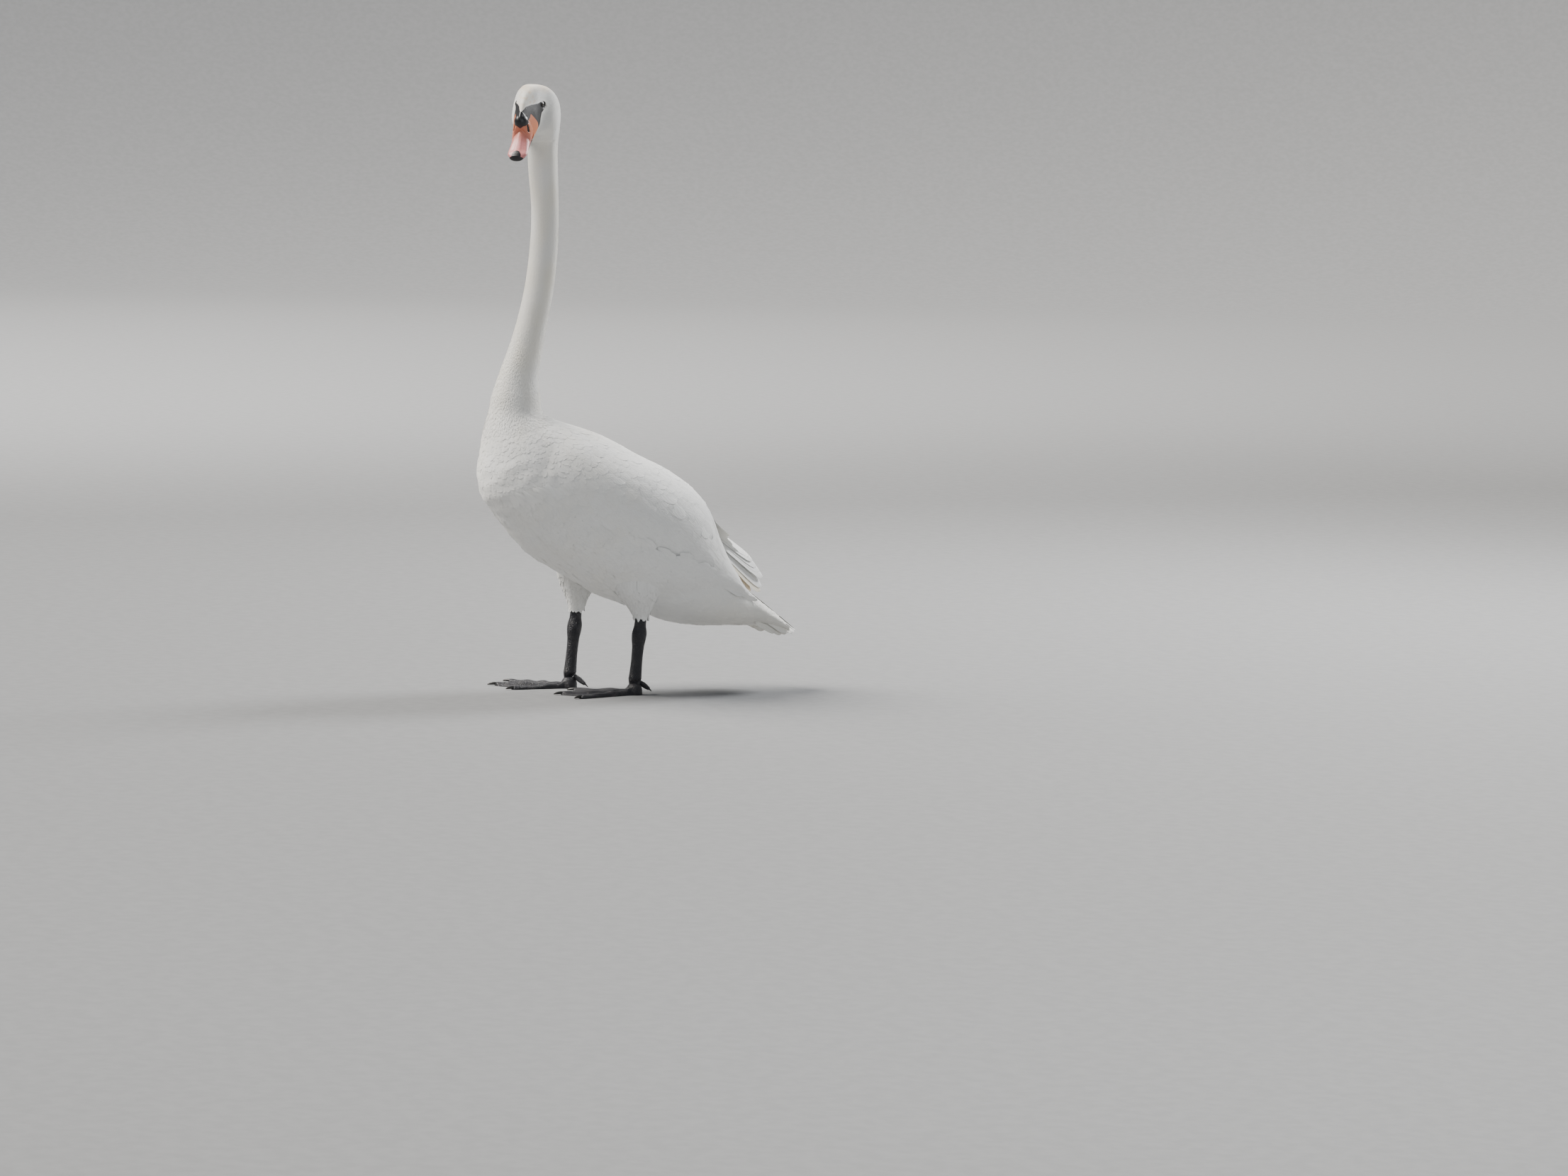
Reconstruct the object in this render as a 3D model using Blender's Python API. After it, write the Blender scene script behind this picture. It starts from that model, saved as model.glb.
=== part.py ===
"""Mute swan (Cygnus olor), life size, standing with its neck up and its head turned to its left.

Metres, +Z up. The swan heads along -Y, its left side is +X, and its soles stand on z = 0.
The solids are the outside of the plumage. They are lofts: each ring spans a front (or lower) point
and a back (or upper) point of the median plane, and is as wide as its third value.
"""

import math

import bmesh
import bpy
import numpy as np
from mathutils import Matrix, Vector

GAP = 0.0003  # clearance between two parts that touch
MIDDLE = (0.0133, -0.0514, 0)  # sets the origin under the middle of the swan's box

# Head: places from the eye's centre, forward and up, in the head's own frame.
HEAD_TURN = math.radians(57)
EYE_LEVEL = 1.036
NECK_AXIS_Y = -0.1560  # of the upright axis that the head turns on
EYE_AHEAD_OF_AXIS = 0.0462
EYE_RADIUS = 0.0075
EYE_OUT = 0.0186  # of the eyeball's centre, from the median plane
HEAD_SIDES = 26
HEAD_POWER = 2.25  # over 2, the sections have square shoulders
# (back forward, back up, front forward, front up, half width, low bulge, to the left)
HEAD_RINGS = [
    (-0.0799, -0.0700, -0.0269, -0.0700, 0.0262, 0.00, 0.0114),
    (-0.0805, -0.0480, -0.0185, -0.0635, 0.0305, 0.00, 0.0095),
    (-0.0775, -0.0240, -0.0120, -0.0570, 0.0355, 0.00, 0.0072),
    (-0.0700, -0.0030, -0.0080, -0.0540, 0.0392, 0.00, 0.0058),
    (-0.0560, 0.0175, -0.0030, -0.0525, 0.0402, 0.00, 0.0040),
    (-0.0375, 0.0300, 0.0021, -0.0515, 0.0370, -0.10, 0.0020),
    (-0.0155, 0.0345, 0.0067, -0.0518, 0.0290, -0.25, 0.0005),
    (0.0053, 0.0327, 0.0113, -0.0529, 0.0240, -0.35, 0.0000),
    (0.0233, 0.0251, 0.0163, -0.0546, 0.0226, -0.45, 0.0000),
    (0.0374, 0.0148, 0.0221, -0.0571, 0.0214, -0.50, 0.0000),
    (0.0504, 0.0021, 0.0274, -0.0601, 0.0200, -0.50, 0.0000),
    (0.0617, -0.0119, 0.0321, -0.0630, 0.0186, -0.50, 0.0000),
]

# Bill, in the head's frame: (ridge forward, up, cutting edge forward, up, half width, low bulge)
BILL_SIDES = 18
BILL_UPPER_RINGS = [
    (0.0620, -0.0120, 0.0350, -0.0587, 0.0183, -0.50),
    (0.0683, -0.0220, 0.0397, -0.0625, 0.0176, -0.50),
    (0.0684, -0.0301, 0.0444, -0.0659, 0.0172, -0.50),
    (0.0646, -0.0378, 0.0491, -0.0693, 0.0168, -0.50),
    (0.0604, -0.0439, 0.0539, -0.0728, 0.0164, -0.50),
    (0.0630, -0.0507, 0.0586, -0.0762, 0.0163, -0.50),
    (0.0693, -0.0623, 0.0652, -0.0808, 0.0166, -0.40),
    (0.0788, -0.0742, 0.0718, -0.0854, 0.0172, -0.30),
    (0.0867, -0.0819, 0.0785, -0.0900, 0.0166, -0.20),
    (0.0912, -0.0883, 0.0827, -0.0934, 0.0125, -0.10),
]
BILL_TIP = (0.0881, -0.0970)
BILL_LOWER_RINGS = [
    (0.0348, -0.0591, 0.0324, -0.0632, 0.0150, 0.00),
    (0.0442, -0.0663, 0.0420, -0.0701, 0.0142, 0.00),
    (0.0536, -0.0732, 0.0515, -0.0770, 0.0138, 0.00),
    (0.0650, -0.0812, 0.0631, -0.0846, 0.0138, 0.00),
    (0.0716, -0.0859, 0.0699, -0.0890, 0.0138, 0.00),
    (0.0782, -0.0906, 0.0774, -0.0931, 0.0120, 0.00),
    (0.0817, -0.0933, 0.0813, -0.0949, 0.0080, 0.00),
]

# Neck: (centre y, z, half depth, half width), from the head down to the trunk
NECK_SIDES = 20
NECK_RINGS = [
    (-0.1425, 0.9650, 0.0265, 0.0262),
    (-0.1405, 0.9250, 0.0256, 0.0254),
    (-0.1350, 0.8525, 0.0245, 0.0243),
    (-0.1360, 0.7800, 0.0250, 0.0250),
    (-0.1437, 0.7075, 0.0262, 0.0260),
    (-0.1590, 0.6350, 0.0285, 0.0280),
    (-0.1768, 0.5625, 0.0358, 0.0335),
    (-0.1810, 0.5260, 0.0435, 0.0410),
    (-0.1814, 0.4975, 0.0484, 0.0480),
]
NECK_NAMES = ["neck_upper", "neck_middle", "neck_lower"]
NECK_CUTS = (0, 0.36, 0.66, 1)  # shares of the neck, from the head down

# Trunk and tail: (front y, front z, back y, back z, half width, wing edge in degrees from the back)
TRUNK_SIDES = 16  # on each side of the median plane
WING_COLUMNS = 8
TAIL_ROOT = 14  # the ring that parts the trunk from the tail
BODY_RINGS = [
    (-0.2298, 0.4970, -0.1330, 0.4970, 0.0480, 60),
    (-0.2380, 0.4600, -0.1120, 0.4860, 0.0650, 56),
    (-0.2423, 0.4240, -0.0820, 0.4730, 0.0850, 60),
    (-0.2462, 0.3870, -0.0450, 0.4570, 0.1010, 84),
    (-0.2400, 0.3520, -0.0080, 0.4360, 0.1120, 98),
    (-0.2200, 0.3220, 0.0275, 0.4155, 0.1190, 101),
    (-0.1833, 0.2780, 0.0680, 0.3950, 0.1230, 101),
    (-0.1436, 0.2400, 0.1060, 0.3710, 0.1250, 98),
    (-0.0850, 0.2070, 0.1365, 0.3455, 0.1240, 95),
    (-0.0223, 0.1710, 0.1640, 0.3120, 0.1190, 86),
    (0.0390, 0.1500, 0.1880, 0.2730, 0.1090, 78),
    (0.0950, 0.1280, 0.2100, 0.2380, 0.0950, 62),
    (0.1500, 0.1170, 0.2330, 0.2090, 0.0780, 56),
    (0.2050, 0.1142, 0.2520, 0.1870, 0.0630, 56),
    (0.2500, 0.1145, 0.2680, 0.1735, 0.0520, 58),
    (0.2850, 0.1128, 0.2920, 0.1540, 0.0545, 58),
    (0.3180, 0.1060, 0.3220, 0.1315, 0.0520, 58),
    (0.3390, 0.1000, 0.3420, 0.1135, 0.0430, 58),
    (0.3470, 0.0975, 0.3490, 0.1050, 0.0280, 58),
]

# Wings: (upper edge in degrees from the back, lift off the trunk, thickness), at each of the
# body's rings from the one before the shoulder on. The right wing reaches farther back.
WING_FIRST_RING = 1
WING_START = 1.5
WING_LOWER_LIFT = 0.4  # the lower edge's share of the lift
LEFT_WING_END = 13.3
RIGHT_WING_END = 15.3
LEFT_WING = [
    (0, 0.0000, 0.0005),
    (0, 0.0000, 0.0060),
    (0, 0.0000, 0.0140),
    (0, 0.0000, 0.0190),
    (0, 0.0000, 0.0215),
    (0, 0.0000, 0.0230),
    (0, 0.0000, 0.0240),
    (0, 0.0000, 0.0235),
    (0, 0.0000, 0.0210),
    (20, 0.0030, 0.0110),
    (30, 0.0040, 0.0070),
    (40, 0.0040, 0.0050),
    (49, 0.0040, 0.0035),
    (54, 0.0040, 0.0030),
]
RIGHT_WING = LEFT_WING[:8] + [
    (0, 0.0040, 0.0200),
    (6, 0.0180, 0.0120),
    (11, 0.0340, 0.0100),
    (17, 0.0470, 0.0080),
    (22, 0.0640, 0.0060),
    (28, 0.0760, 0.0050),
    (30, 0.0840, 0.0040),
    (32, 0.0880, 0.0030),
]

# Legs: (centre x from the median plane, y, z, half depth, half width), from the flank down
LEFT_THIGH = [
    (0.0700, 0.0340, 0.2300, 0.0560, 0.0400),
    (0.0710, 0.0330, 0.2050, 0.0530, 0.0390),
    (0.0690, 0.0330, 0.1800, 0.0420, 0.0320),
    (0.0640, 0.0370, 0.1580, 0.0260, 0.0215),
    (0.0600, 0.0405, 0.1390, 0.0155, 0.0135),
]
RIGHT_THIGH = [
    (0.0700, -0.0300, 0.2400, 0.0520, 0.0400),
    (0.0710, -0.0300, 0.2100, 0.0450, 0.0380),
    (0.0690, -0.0320, 0.1850, 0.0350, 0.0300),
    (0.0640, -0.0355, 0.1630, 0.0230, 0.0205),
    (0.0600, -0.0380, 0.1430, 0.0155, 0.0135),
]
# (share of the shank from the thigh down, half depth, half width)
SHANK_RINGS = [
    (0.00, 0.0105, 0.0090),
    (0.14, 0.0108, 0.0090),
    (0.24, 0.0133, 0.0108),
    (0.33, 0.0130, 0.0104),
    (0.45, 0.0110, 0.0080),
    (0.65, 0.0104, 0.0074),
    (0.85, 0.0112, 0.0086),
    (1.00, 0.0125, 0.0105),
]
SHANK_SIDES = 12
SHANK_FOOT_Z = 0.020
LEFT_FOOT_AT = (0.0570, 0.0325)
RIGHT_FOOT_AT = (0.0550, -0.0500)
LEFT_TOE_OUT = math.radians(-6)
RIGHT_TOE_OUT = math.radians(24)

# Foot: (name, degrees outwards from the middle toe, length without its claw)
TOES = [("inner", -29, 0.110), ("middle", 0, 0.133), ("outer", 27, 0.126)]
TOE_HALF_WIDTH = 0.0062
TOE_HEIGHT = (0.0105, 0.0060)  # at its root and at its tip
WEB_THICKNESS = 0.0026
WEB_SCALLOP = 0.17
HEEL_RADIUS = 0.0140
HEEL_CORE = 0.0115  # radius of the ring of points round the heel's top
FOOT_SPOKES = [-130, -90, -52, -34, -19.5, -9.5, 9.5, 18, 32, 50, 85, 130, 180]  # degrees
HALLUX_ROOT = (-0.0040, 0.0143, 0.0190)  # outwards, back and up from the heel
HALLUX_WAY = (-0.35, 0.80, -0.55)
HALLUX = [(0, 0.0042), (0.006, 0.0046), (0.013, 0.0040), (0.018, 0.0030)]  # (reach, radius)
HALLUX_CLAW_SCALE = 0.6
CLAW_LENGTH = 0.0135
CLAW_RADIUS = 0.0030
CLAW_HEIGHT = 0.0036

WHITE = (0.90, 0.90, 0.88)
BLACK = (0.025, 0.024, 0.028)
ORANGE = (0.72, 0.27, 0.10)
DARK_BROWN = (0.03, 0.02, 0.015)


def frame_at(name, location, turn=0.0, parent=None):
    """An empty that carries other objects, turned about the upright axis."""
    empty = bpy.data.objects.new(name, None)
    bpy.context.scene.collection.objects.link(empty)
    empty.location = location
    empty.rotation_euler = (0, 0, turn)
    empty.parent = parent
    return empty


def finish(name, verts, faces, colour, roughness, parent=None):
    """Makes the object: faces turned outwards, smooth, with its own material."""
    mesh = bpy.data.meshes.new(name)
    work = bmesh.new()
    points = [work.verts.new(place) for place in verts]
    for face in faces:
        work.faces.new([points[i] for i in face])
    bmesh.ops.recalc_face_normals(work, faces=work.faces)
    work.to_mesh(mesh)
    work.free()
    mesh.shade_smooth()
    mesh.set_sharp_from_angle(angle=math.radians(50))
    material = bpy.data.materials.new(name)
    material.use_nodes = True
    shader = material.node_tree.nodes["Principled BSDF"]
    shader.inputs["Base Color"].default_value = (*colour, 1)
    shader.inputs["Roughness"].default_value = roughness
    shader.inputs["Metallic"].default_value = 0
    mesh.materials.append(material)
    piece = bpy.data.objects.new(name, mesh)
    bpy.context.scene.collection.objects.link(piece)
    piece.parent = parent or swan
    return piece


def read_between(rows, places):
    """Reads a table of stations at fractional row numbers, along Catmull-Rom curves."""
    rows = np.asarray(rows, float)
    padded = np.vstack([2 * rows[0] - rows[1], rows, 2 * rows[-1] - rows[-2]])
    places = np.atleast_1d(np.asarray(places, float))
    start = np.clip(places.astype(int), 0, len(rows) - 2)
    t = (places - start)[:, None]
    a, b, c, d = (padded[start + k] for k in range(4))
    curve = 2 * b + (c - a) * t + (2 * a - 5 * b + 4 * c - d) * t**2
    return (curve + (3 * b - a - 3 * c + d) * t**3) / 2


def ring(front, back, half_width, angles, bulge=0.0, power=2.0):
    """One closed section: angle 0 is at the back, pi at the front; the left side is at +x.

    A negative bulge moves the widest place from the middle towards the front, and a power
    over 2 squares the section's shoulders.
    """
    front, back = np.asarray(front, float), np.asarray(back, float)
    along, across = np.cos(angles), np.sin(angles + bulge * np.sin(angles))
    along = np.sign(along) * np.abs(along) ** (2 / power)
    across = np.sign(across) * np.abs(across) ** (2 / power)
    points = (front + back) / 2 + (back - front) / 2 * along[:, None]
    return np.column_stack([half_width * across, points])


def even_angles(sides):
    return np.arange(sides) * 2 * math.pi / sides


def loft(name, rings, colour, roughness, ends=(None, None), parent=None):
    """Skins closed rings and closes each end with a fan, flat or drawn out to a given point."""
    sides = len(rings[0])
    verts = [tuple(point) for section in rings for point in section]
    faces = []
    for r in range(len(rings) - 1):
        for s in range(sides):
            n = (s + 1) % sides
            low, high = r * sides, (r + 1) * sides
            faces.append((low + s, low + n, high + n, high + s))
    for r, end in ((0, ends[0]), (len(rings) - 1, ends[1])):
        centre = rings[r].mean(axis=0) if end is None else end
        verts.append(tuple(centre))
        for s in range(sides):
            faces.append((r * sides + s, r * sides + (s + 1) % sides, len(verts) - 1))
    return finish(name, verts, faces, colour, roughness, parent)


def cut(piece, cutter, name):
    """Subtracts the cutter, which the build leaves out."""
    cutter.hide_render = True
    cutter.display_type = "WIRE"
    boolean = piece.modifiers.new(name, "BOOLEAN")
    boolean.operation = "DIFFERENCE"
    boolean.solver = "EXACT"
    boolean.object = cutter


# ---------------------------------------------------------------- trunk, wings and tail


def trunk_angles(wing_edge):
    """Angles down the left side: the first columns end on the wing's lower edge."""
    under = math.pi - wing_edge
    columns = TRUNK_SIDES - WING_COLUMNS
    above = wing_edge * np.arange(WING_COLUMNS) / WING_COLUMNS
    return np.concatenate([above, wing_edge + under * np.arange(columns + 1) / columns])


def trunk_section(place, angles, grow=0.0):
    """Points on the trunk at a fractional ring number, pushed out of its surface by grow."""
    front_y, front_z, back_y, back_z, half_width, _ = read_between(BODY_RINGS, place)[0]
    half_depth = math.hypot(back_y - front_y, back_z - front_z) / 2
    points = ring((front_y, front_z), (back_y, back_z), half_width, angles)
    up = np.array([0, back_y - front_y, back_z - front_z]) / (2 * half_depth)
    out = np.outer(np.sin(angles) / half_width, [1, 0, 0])
    out += np.outer(np.cos(angles) / half_depth, up)
    out /= np.linalg.norm(out, axis=1)[:, None]
    return points + out * np.reshape(grow, (-1, 1))


def trunk_rings(grow=0.0):
    rings = []
    for place in np.linspace(0, TAIL_ROOT, 2 * TAIL_ROOT + 1):
        wing_edge = math.radians(read_between(BODY_RINGS, place)[0][5])
        left = trunk_angles(wing_edge)
        rings.append(trunk_section(place, np.concatenate([left, -left[-2:0:-1]]), grow))
    return rings


def wing(name, side, stations, end):
    """A wing folded on the trunk: an inner and an outer sheet of points, closed round the edge."""
    places = np.append(np.arange(WING_START, end - 0.2, 0.5), end)
    count = len(places)
    inner, outer = [], []
    for place in places:
        upper, lift, thickness = read_between(stations, place - WING_FIRST_RING)[0]
        lower = read_between(BODY_RINGS, place)[0][5]
        share = np.arange(WING_COLUMNS + 1) / WING_COLUMNS
        angles = np.radians(upper + (lower - upper) * share)
        rise = 2 * GAP + max(lift, 0) * (1 - (1 - WING_LOWER_LIFT) * share)
        # The wing is full over the forearm and thins to a fifth at its lower edge.
        body = thickness * (1 - 0.16 * (1 - share) ** 6 - 0.80 * share**3)
        for sheet, grow in ((inner, rise), (outer, rise + body)):
            points = trunk_section(place, angles, grow)
            points[:, 0] = np.maximum(points[:, 0], 2 * GAP) * side
            sheet.append(points)
    columns = WING_COLUMNS + 1
    verts = [tuple(point) for sheet in (inner, outer) for row in sheet for point in row]
    far = count * columns
    faces = []
    for r in range(count - 1):
        for c in range(WING_COLUMNS):
            corner = r * columns + c
            quad = (corner, corner + 1, corner + columns + 1, corner + columns)
            if side < 0:  # so that each fold lies along the trunk's own
                quad = quad[1::-1] + quad[:1:-1]
            faces += [quad, tuple(i + far for i in quad)]
    edge = list(range(columns))
    edge += [r * columns + WING_COLUMNS for r in range(1, count)]
    edge += [(count - 1) * columns + c for c in range(WING_COLUMNS - 1, -1, -1)]
    edge += [r * columns for r in range(count - 2, 0, -1)]
    for i, first in enumerate(edge):
        second = edge[(i + 1) % len(edge)]
        faces.append((first, second, second + far, first + far))
    return finish(name, verts, faces, WHITE, 0.7)


def make_body():
    loft("trunk", trunk_rings(), WHITE, 0.75)
    wing("wing_left", 1, LEFT_WING, LEFT_WING_END)
    wing("wing_right", -1, RIGHT_WING, RIGHT_WING_END)
    places = np.linspace(TAIL_ROOT, len(BODY_RINGS) - 1, 8)
    sections = [trunk_section(place, even_angles(22)) for place in places]
    along = sections[1].mean(axis=0) - sections[0].mean(axis=0)
    sections[0] = sections[0] + along / np.linalg.norm(along) * GAP
    loft("tail", sections, WHITE, 0.7)


# ---------------------------------------------------------------- neck


def make_neck():
    """Three lengths of neck, parted by thin cuts across it."""
    cuts = np.array(NECK_CUTS) * (len(NECK_RINGS) - 1)
    for name, start, end in zip(NECK_NAMES, cuts[:-1], cuts[1:]):
        rows = read_between(NECK_RINGS, np.linspace(start, end, 6))
        rows[0, 1] -= GAP / 2
        rows[-1, 1] += GAP / 2
        sections = []
        for y, z, half_depth, half_width in rows:
            front, back = (y - half_depth, z), (y + half_depth, z)
            sections.append(ring(front, back, half_width, even_angles(NECK_SIDES)))
        loft(name, sections, WHITE, 0.75)


# ---------------------------------------------------------------- head, bill and eyes


def make_head():
    """The head in its own frame, with the eye's centre at the origin, turned by its empty."""
    pivot = frame_at("head_pivot", (0, NECK_AXIS_Y, EYE_LEVEL), HEAD_TURN, swan)

    def section(row, sides):
        back_f, back_u, front_f, front_u, half_width, bulge = row[:6]
        front = (-EYE_AHEAD_OF_AXIS - front_f, front_u)
        back = (-EYE_AHEAD_OF_AXIS - back_f, back_u)
        points = ring(front, back, half_width, even_angles(sides), bulge, HEAD_POWER)
        return points + (row[6] if len(row) > 6 else 0, 0, 0)

    rows = read_between(HEAD_RINGS, np.linspace(0, len(HEAD_RINGS) - 1, 17))
    head = loft("head", [section(r, HEAD_SIDES) for r in rows], WHITE, 0.75, parent=pivot)
    rows = read_between(BILL_UPPER_RINGS, np.linspace(0, len(BILL_UPPER_RINGS) - 1, 13))
    tip = (0, -EYE_AHEAD_OF_AXIS - BILL_TIP[0], BILL_TIP[1])
    rings = [section(r, BILL_SIDES) for r in rows]
    loft("bill_upper", rings, ORANGE, 0.4, (None, tip), pivot)
    rows = read_between(BILL_LOWER_RINGS, np.linspace(0, len(BILL_LOWER_RINGS) - 1, 7))
    rings = [section(r, 12) for r in rows]
    loft("bill_lower", rings, ORANGE, 0.4, parent=pivot)
    for name, side in (("eye_left", 1), ("eye_right", -1)):
        centre = Vector((side * EYE_OUT, -EYE_AHEAD_OF_AXIS, 0))
        ball(name, centre, EYE_RADIUS, pivot)
        socket = ball(name + "_socket", centre, EYE_RADIUS + GAP, pivot)
        cut(head, socket, name)


def ball(name, centre, radius, parent):
    work = bmesh.new()
    place = Matrix.Translation(centre) @ Matrix.Rotation(math.pi / 2, 4, "Y")
    bmesh.ops.create_uvsphere(work, u_segments=14, v_segments=8, radius=radius, matrix=place)
    verts = [vert.co.copy() for vert in work.verts]
    faces = [[vert.index for vert in face.verts] for face in work.faces]
    work.free()
    return finish(name, verts, faces, DARK_BROWN, 0.1, parent)


# ---------------------------------------------------------------- legs and feet


def make_leg(side_name, side, thigh_rows, foot_at, toe_out):
    thigh = []
    places = np.linspace(0, len(thigh_rows) - 1, 9)
    for x, y, z, half_depth, half_width in read_between(thigh_rows, places):
        section = ring((y - half_depth, z), (y + half_depth, z), half_width, even_angles(20))
        thigh.append(section + (side * x, 0, 0))
    thigh_piece = loft("thigh_" + side_name, thigh, WHITE, 0.8)
    top = np.array(thigh_rows[-1][:3]) - (0, 0, GAP)
    bottom = np.array([*foot_at, SHANK_FOOT_Z + GAP])
    shank = []
    places = np.linspace(0, len(SHANK_RINGS) - 1, 13)
    for share, half_depth, half_width in read_between(SHANK_RINGS, places):
        x, y, z = top + (bottom - top) * share
        section = ring((y - half_depth, z), (y + half_depth, z), half_width, even_angles(SHANK_SIDES))
        shank.append(section + (side * x, 0, 0))
    loft("shank_" + side_name, shank, BLACK, 0.5)
    sole = (side * foot_at[0], foot_at[1], 0)
    foot = frame_at("foot_" + side_name + "_place", sole, side * toe_out, swan)
    make_foot(side_name, side, foot)
    return thigh_piece


def foot_reach(turn):
    """How far the sole reaches from the heel at an angle outwards from the middle toe."""
    angles = [math.radians(toe[1]) for toe in TOES]
    lengths = [toe[2] for toe in TOES]
    if angles[0] <= turn <= angles[-1]:
        i = 0 if turn <= angles[1] else 1
        share = (turn - angles[i]) / (angles[i + 1] - angles[i])
        length = lengths[i] + (lengths[i + 1] - lengths[i]) * share
        return length * (1 - WEB_SCALLOP * math.sin(math.pi * share) ** 2)
    nearest = 0 if turn < angles[0] else -1
    past = abs(turn - angles[nearest])
    side_reach = TOE_HALF_WIDTH / math.sin(min(past, math.pi / 2))
    return max(HEEL_RADIUS, min(lengths[nearest], side_reach))


def foot_height(reach, turn):
    """Height of the top of the foot: a thin web, a ridge along each toe, a knuckle at the heel."""
    height = WEB_THICKNESS
    for _, degrees, length in TOES:
        aside = reach * abs(math.sin(turn - math.radians(degrees)))
        ahead = math.cos(turn - math.radians(degrees)) > 0
        if ahead and aside < TOE_HALF_WIDTH:
            root, tip = TOE_HEIGHT
            crest = root + (tip - root) * min(1, reach / length)
            round_top = math.sqrt(1 - (aside / TOE_HALF_WIDTH) ** 2)
            height = max(height, WEB_THICKNESS + (crest - WEB_THICKNESS) * round_top)
    knuckle = max(0, 1 - (reach / (1.25 * HEEL_RADIUS)) ** 4)
    return max(height, SHANK_FOOT_Z * knuckle)


def make_foot(side_name, side, parent):
    """The sole is flat on the floor; rows of points run out from the heel to the rim."""
    turns = []
    for _, degrees, _ in TOES:
        turns += [degrees - 2.8, degrees, degrees + 2.8]
    turns = sorted(math.radians(turn) for turn in turns + FOOT_SPOKES)
    shares = [0, 0.3, 0.5, 0.7, 0.86, 1.0]
    verts = [(0, 0, SHANK_FOOT_Z)]
    faces = []
    for turn in turns:
        rim = foot_reach(turn)
        reaches = [HEEL_CORE + (rim - HEEL_CORE) * share for share in shares]
        for i, reach in enumerate(reaches):
            height = SHANK_FOOT_Z if i == 0 else foot_height(reach, turn)
            verts.append((side * reach * math.sin(turn), -reach * math.cos(turn), height))
        verts.append((verts[-1][0], verts[-1][1], 0))
    rows = len(shares) + 1
    for i in range(len(turns)):
        here, there = 1 + i * rows, 1 + (i + 1) % len(turns) * rows
        faces.append((0, here, there))
        for r in range(rows - 1):
            faces.append((here + r, here + r + 1, there + r + 1, there + r))
    faces.append([i * rows + rows for i in range(len(turns))])
    finish("foot_" + side_name, verts, faces, BLACK, 0.5, parent)
    for toe_name, degrees, length in TOES:
        turn = side * math.radians(degrees)
        ahead = Vector((math.sin(turn), -math.cos(turn), 0))
        name = "claw_" + side_name + "_" + toe_name
        claw(name, ahead * (length + GAP) + Vector((0, 0, CLAW_HEIGHT)), ahead, parent)
    root = Vector((side * HALLUX_ROOT[0], HALLUX_ROOT[1], HALLUX_ROOT[2]))
    way = Vector((side * HALLUX_WAY[0], HALLUX_WAY[1], HALLUX_WAY[2])).normalized()
    sections = [disc(root + way * reach, way, radius) for reach, radius in HALLUX]
    loft("hallux_" + side_name, sections, BLACK, 0.5, parent=parent)
    tip = root + way * (HALLUX[-1][0] + GAP)
    claw("claw_" + side_name + "_hallux", tip, way, parent, HALLUX_CLAW_SCALE)


def disc(centre, axis, radius, sides=10):
    turn = axis.to_track_quat("Z", "Y")
    points = []
    for angle in even_angles(sides):
        points.append(centre + turn @ Vector((math.cos(angle), math.sin(angle), 0)) * radius)
    return np.array(points)


def claw(name, root, ahead, parent, scale=1.0):
    """A blunt claw that tapers and bends down a little."""
    sections = []
    for share in (0, 0.35, 0.7, 0.92):
        drop = Vector((0, 0, -0.0022 * scale * share**2))
        centre = root + ahead * CLAW_LENGTH * scale * share + drop
        radius = CLAW_RADIUS * scale * math.sqrt(1 - 0.9 * share**2)
        sections.append(disc(centre, ahead, radius * (1 - 0.2 * share)))
    loft(name, sections, BLACK, 0.35, parent=parent)


for old in list(bpy.data.objects):
    bpy.data.objects.remove(old)

swan = frame_at("swan", MIDDLE)
make_body()
make_neck()
make_head()
thighs = [
    make_leg("left", 1, LEFT_THIGH, LEFT_FOOT_AT, LEFT_TOE_OUT),
    make_leg("right", -1, RIGHT_THIGH, RIGHT_FOOT_AT, RIGHT_TOE_OUT),
]
thigh_cutter = loft("thigh_cutter", trunk_rings(2 * GAP), WHITE, 0.8)
for thigh_piece in thighs:
    cut(thigh_piece, thigh_cutter, "fit_to_trunk")
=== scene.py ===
"""Mute swan, life size, standing with its neck up and its head turned to its left.

One skin carries the whole bird. Over it lie the feathers, each a thin curved vane, and the bill,
eyes, claws and flight feathers are pieces of their own. Metres, +Z up, heading along -Y.
"""

import math

import bpy
import numpy as np
from mathutils import Matrix, Vector


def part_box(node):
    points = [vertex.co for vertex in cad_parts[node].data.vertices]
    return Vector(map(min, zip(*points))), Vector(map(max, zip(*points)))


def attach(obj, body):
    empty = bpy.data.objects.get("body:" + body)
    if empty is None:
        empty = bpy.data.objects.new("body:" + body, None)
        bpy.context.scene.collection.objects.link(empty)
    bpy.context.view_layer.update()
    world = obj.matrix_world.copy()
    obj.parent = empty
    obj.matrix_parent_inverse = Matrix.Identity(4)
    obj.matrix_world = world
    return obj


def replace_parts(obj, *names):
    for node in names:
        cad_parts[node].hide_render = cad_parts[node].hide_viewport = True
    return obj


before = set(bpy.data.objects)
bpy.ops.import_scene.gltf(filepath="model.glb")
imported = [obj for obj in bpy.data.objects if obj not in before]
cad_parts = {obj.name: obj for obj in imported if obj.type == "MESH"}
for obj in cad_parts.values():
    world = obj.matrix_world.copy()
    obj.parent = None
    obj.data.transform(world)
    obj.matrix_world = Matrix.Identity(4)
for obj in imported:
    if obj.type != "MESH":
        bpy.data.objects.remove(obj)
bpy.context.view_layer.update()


# ---------------------------------------------------------------- skin
# One hide covers head, neck, trunk, thighs, shanks and webbed feet with no seam: white under the
# feathers, black and orange on the face, black and scaly on the legs. It is a loft of oval rings
# that give the bird's outline, set in by the plumage's depth, joined to a sheet for each leg.

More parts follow.
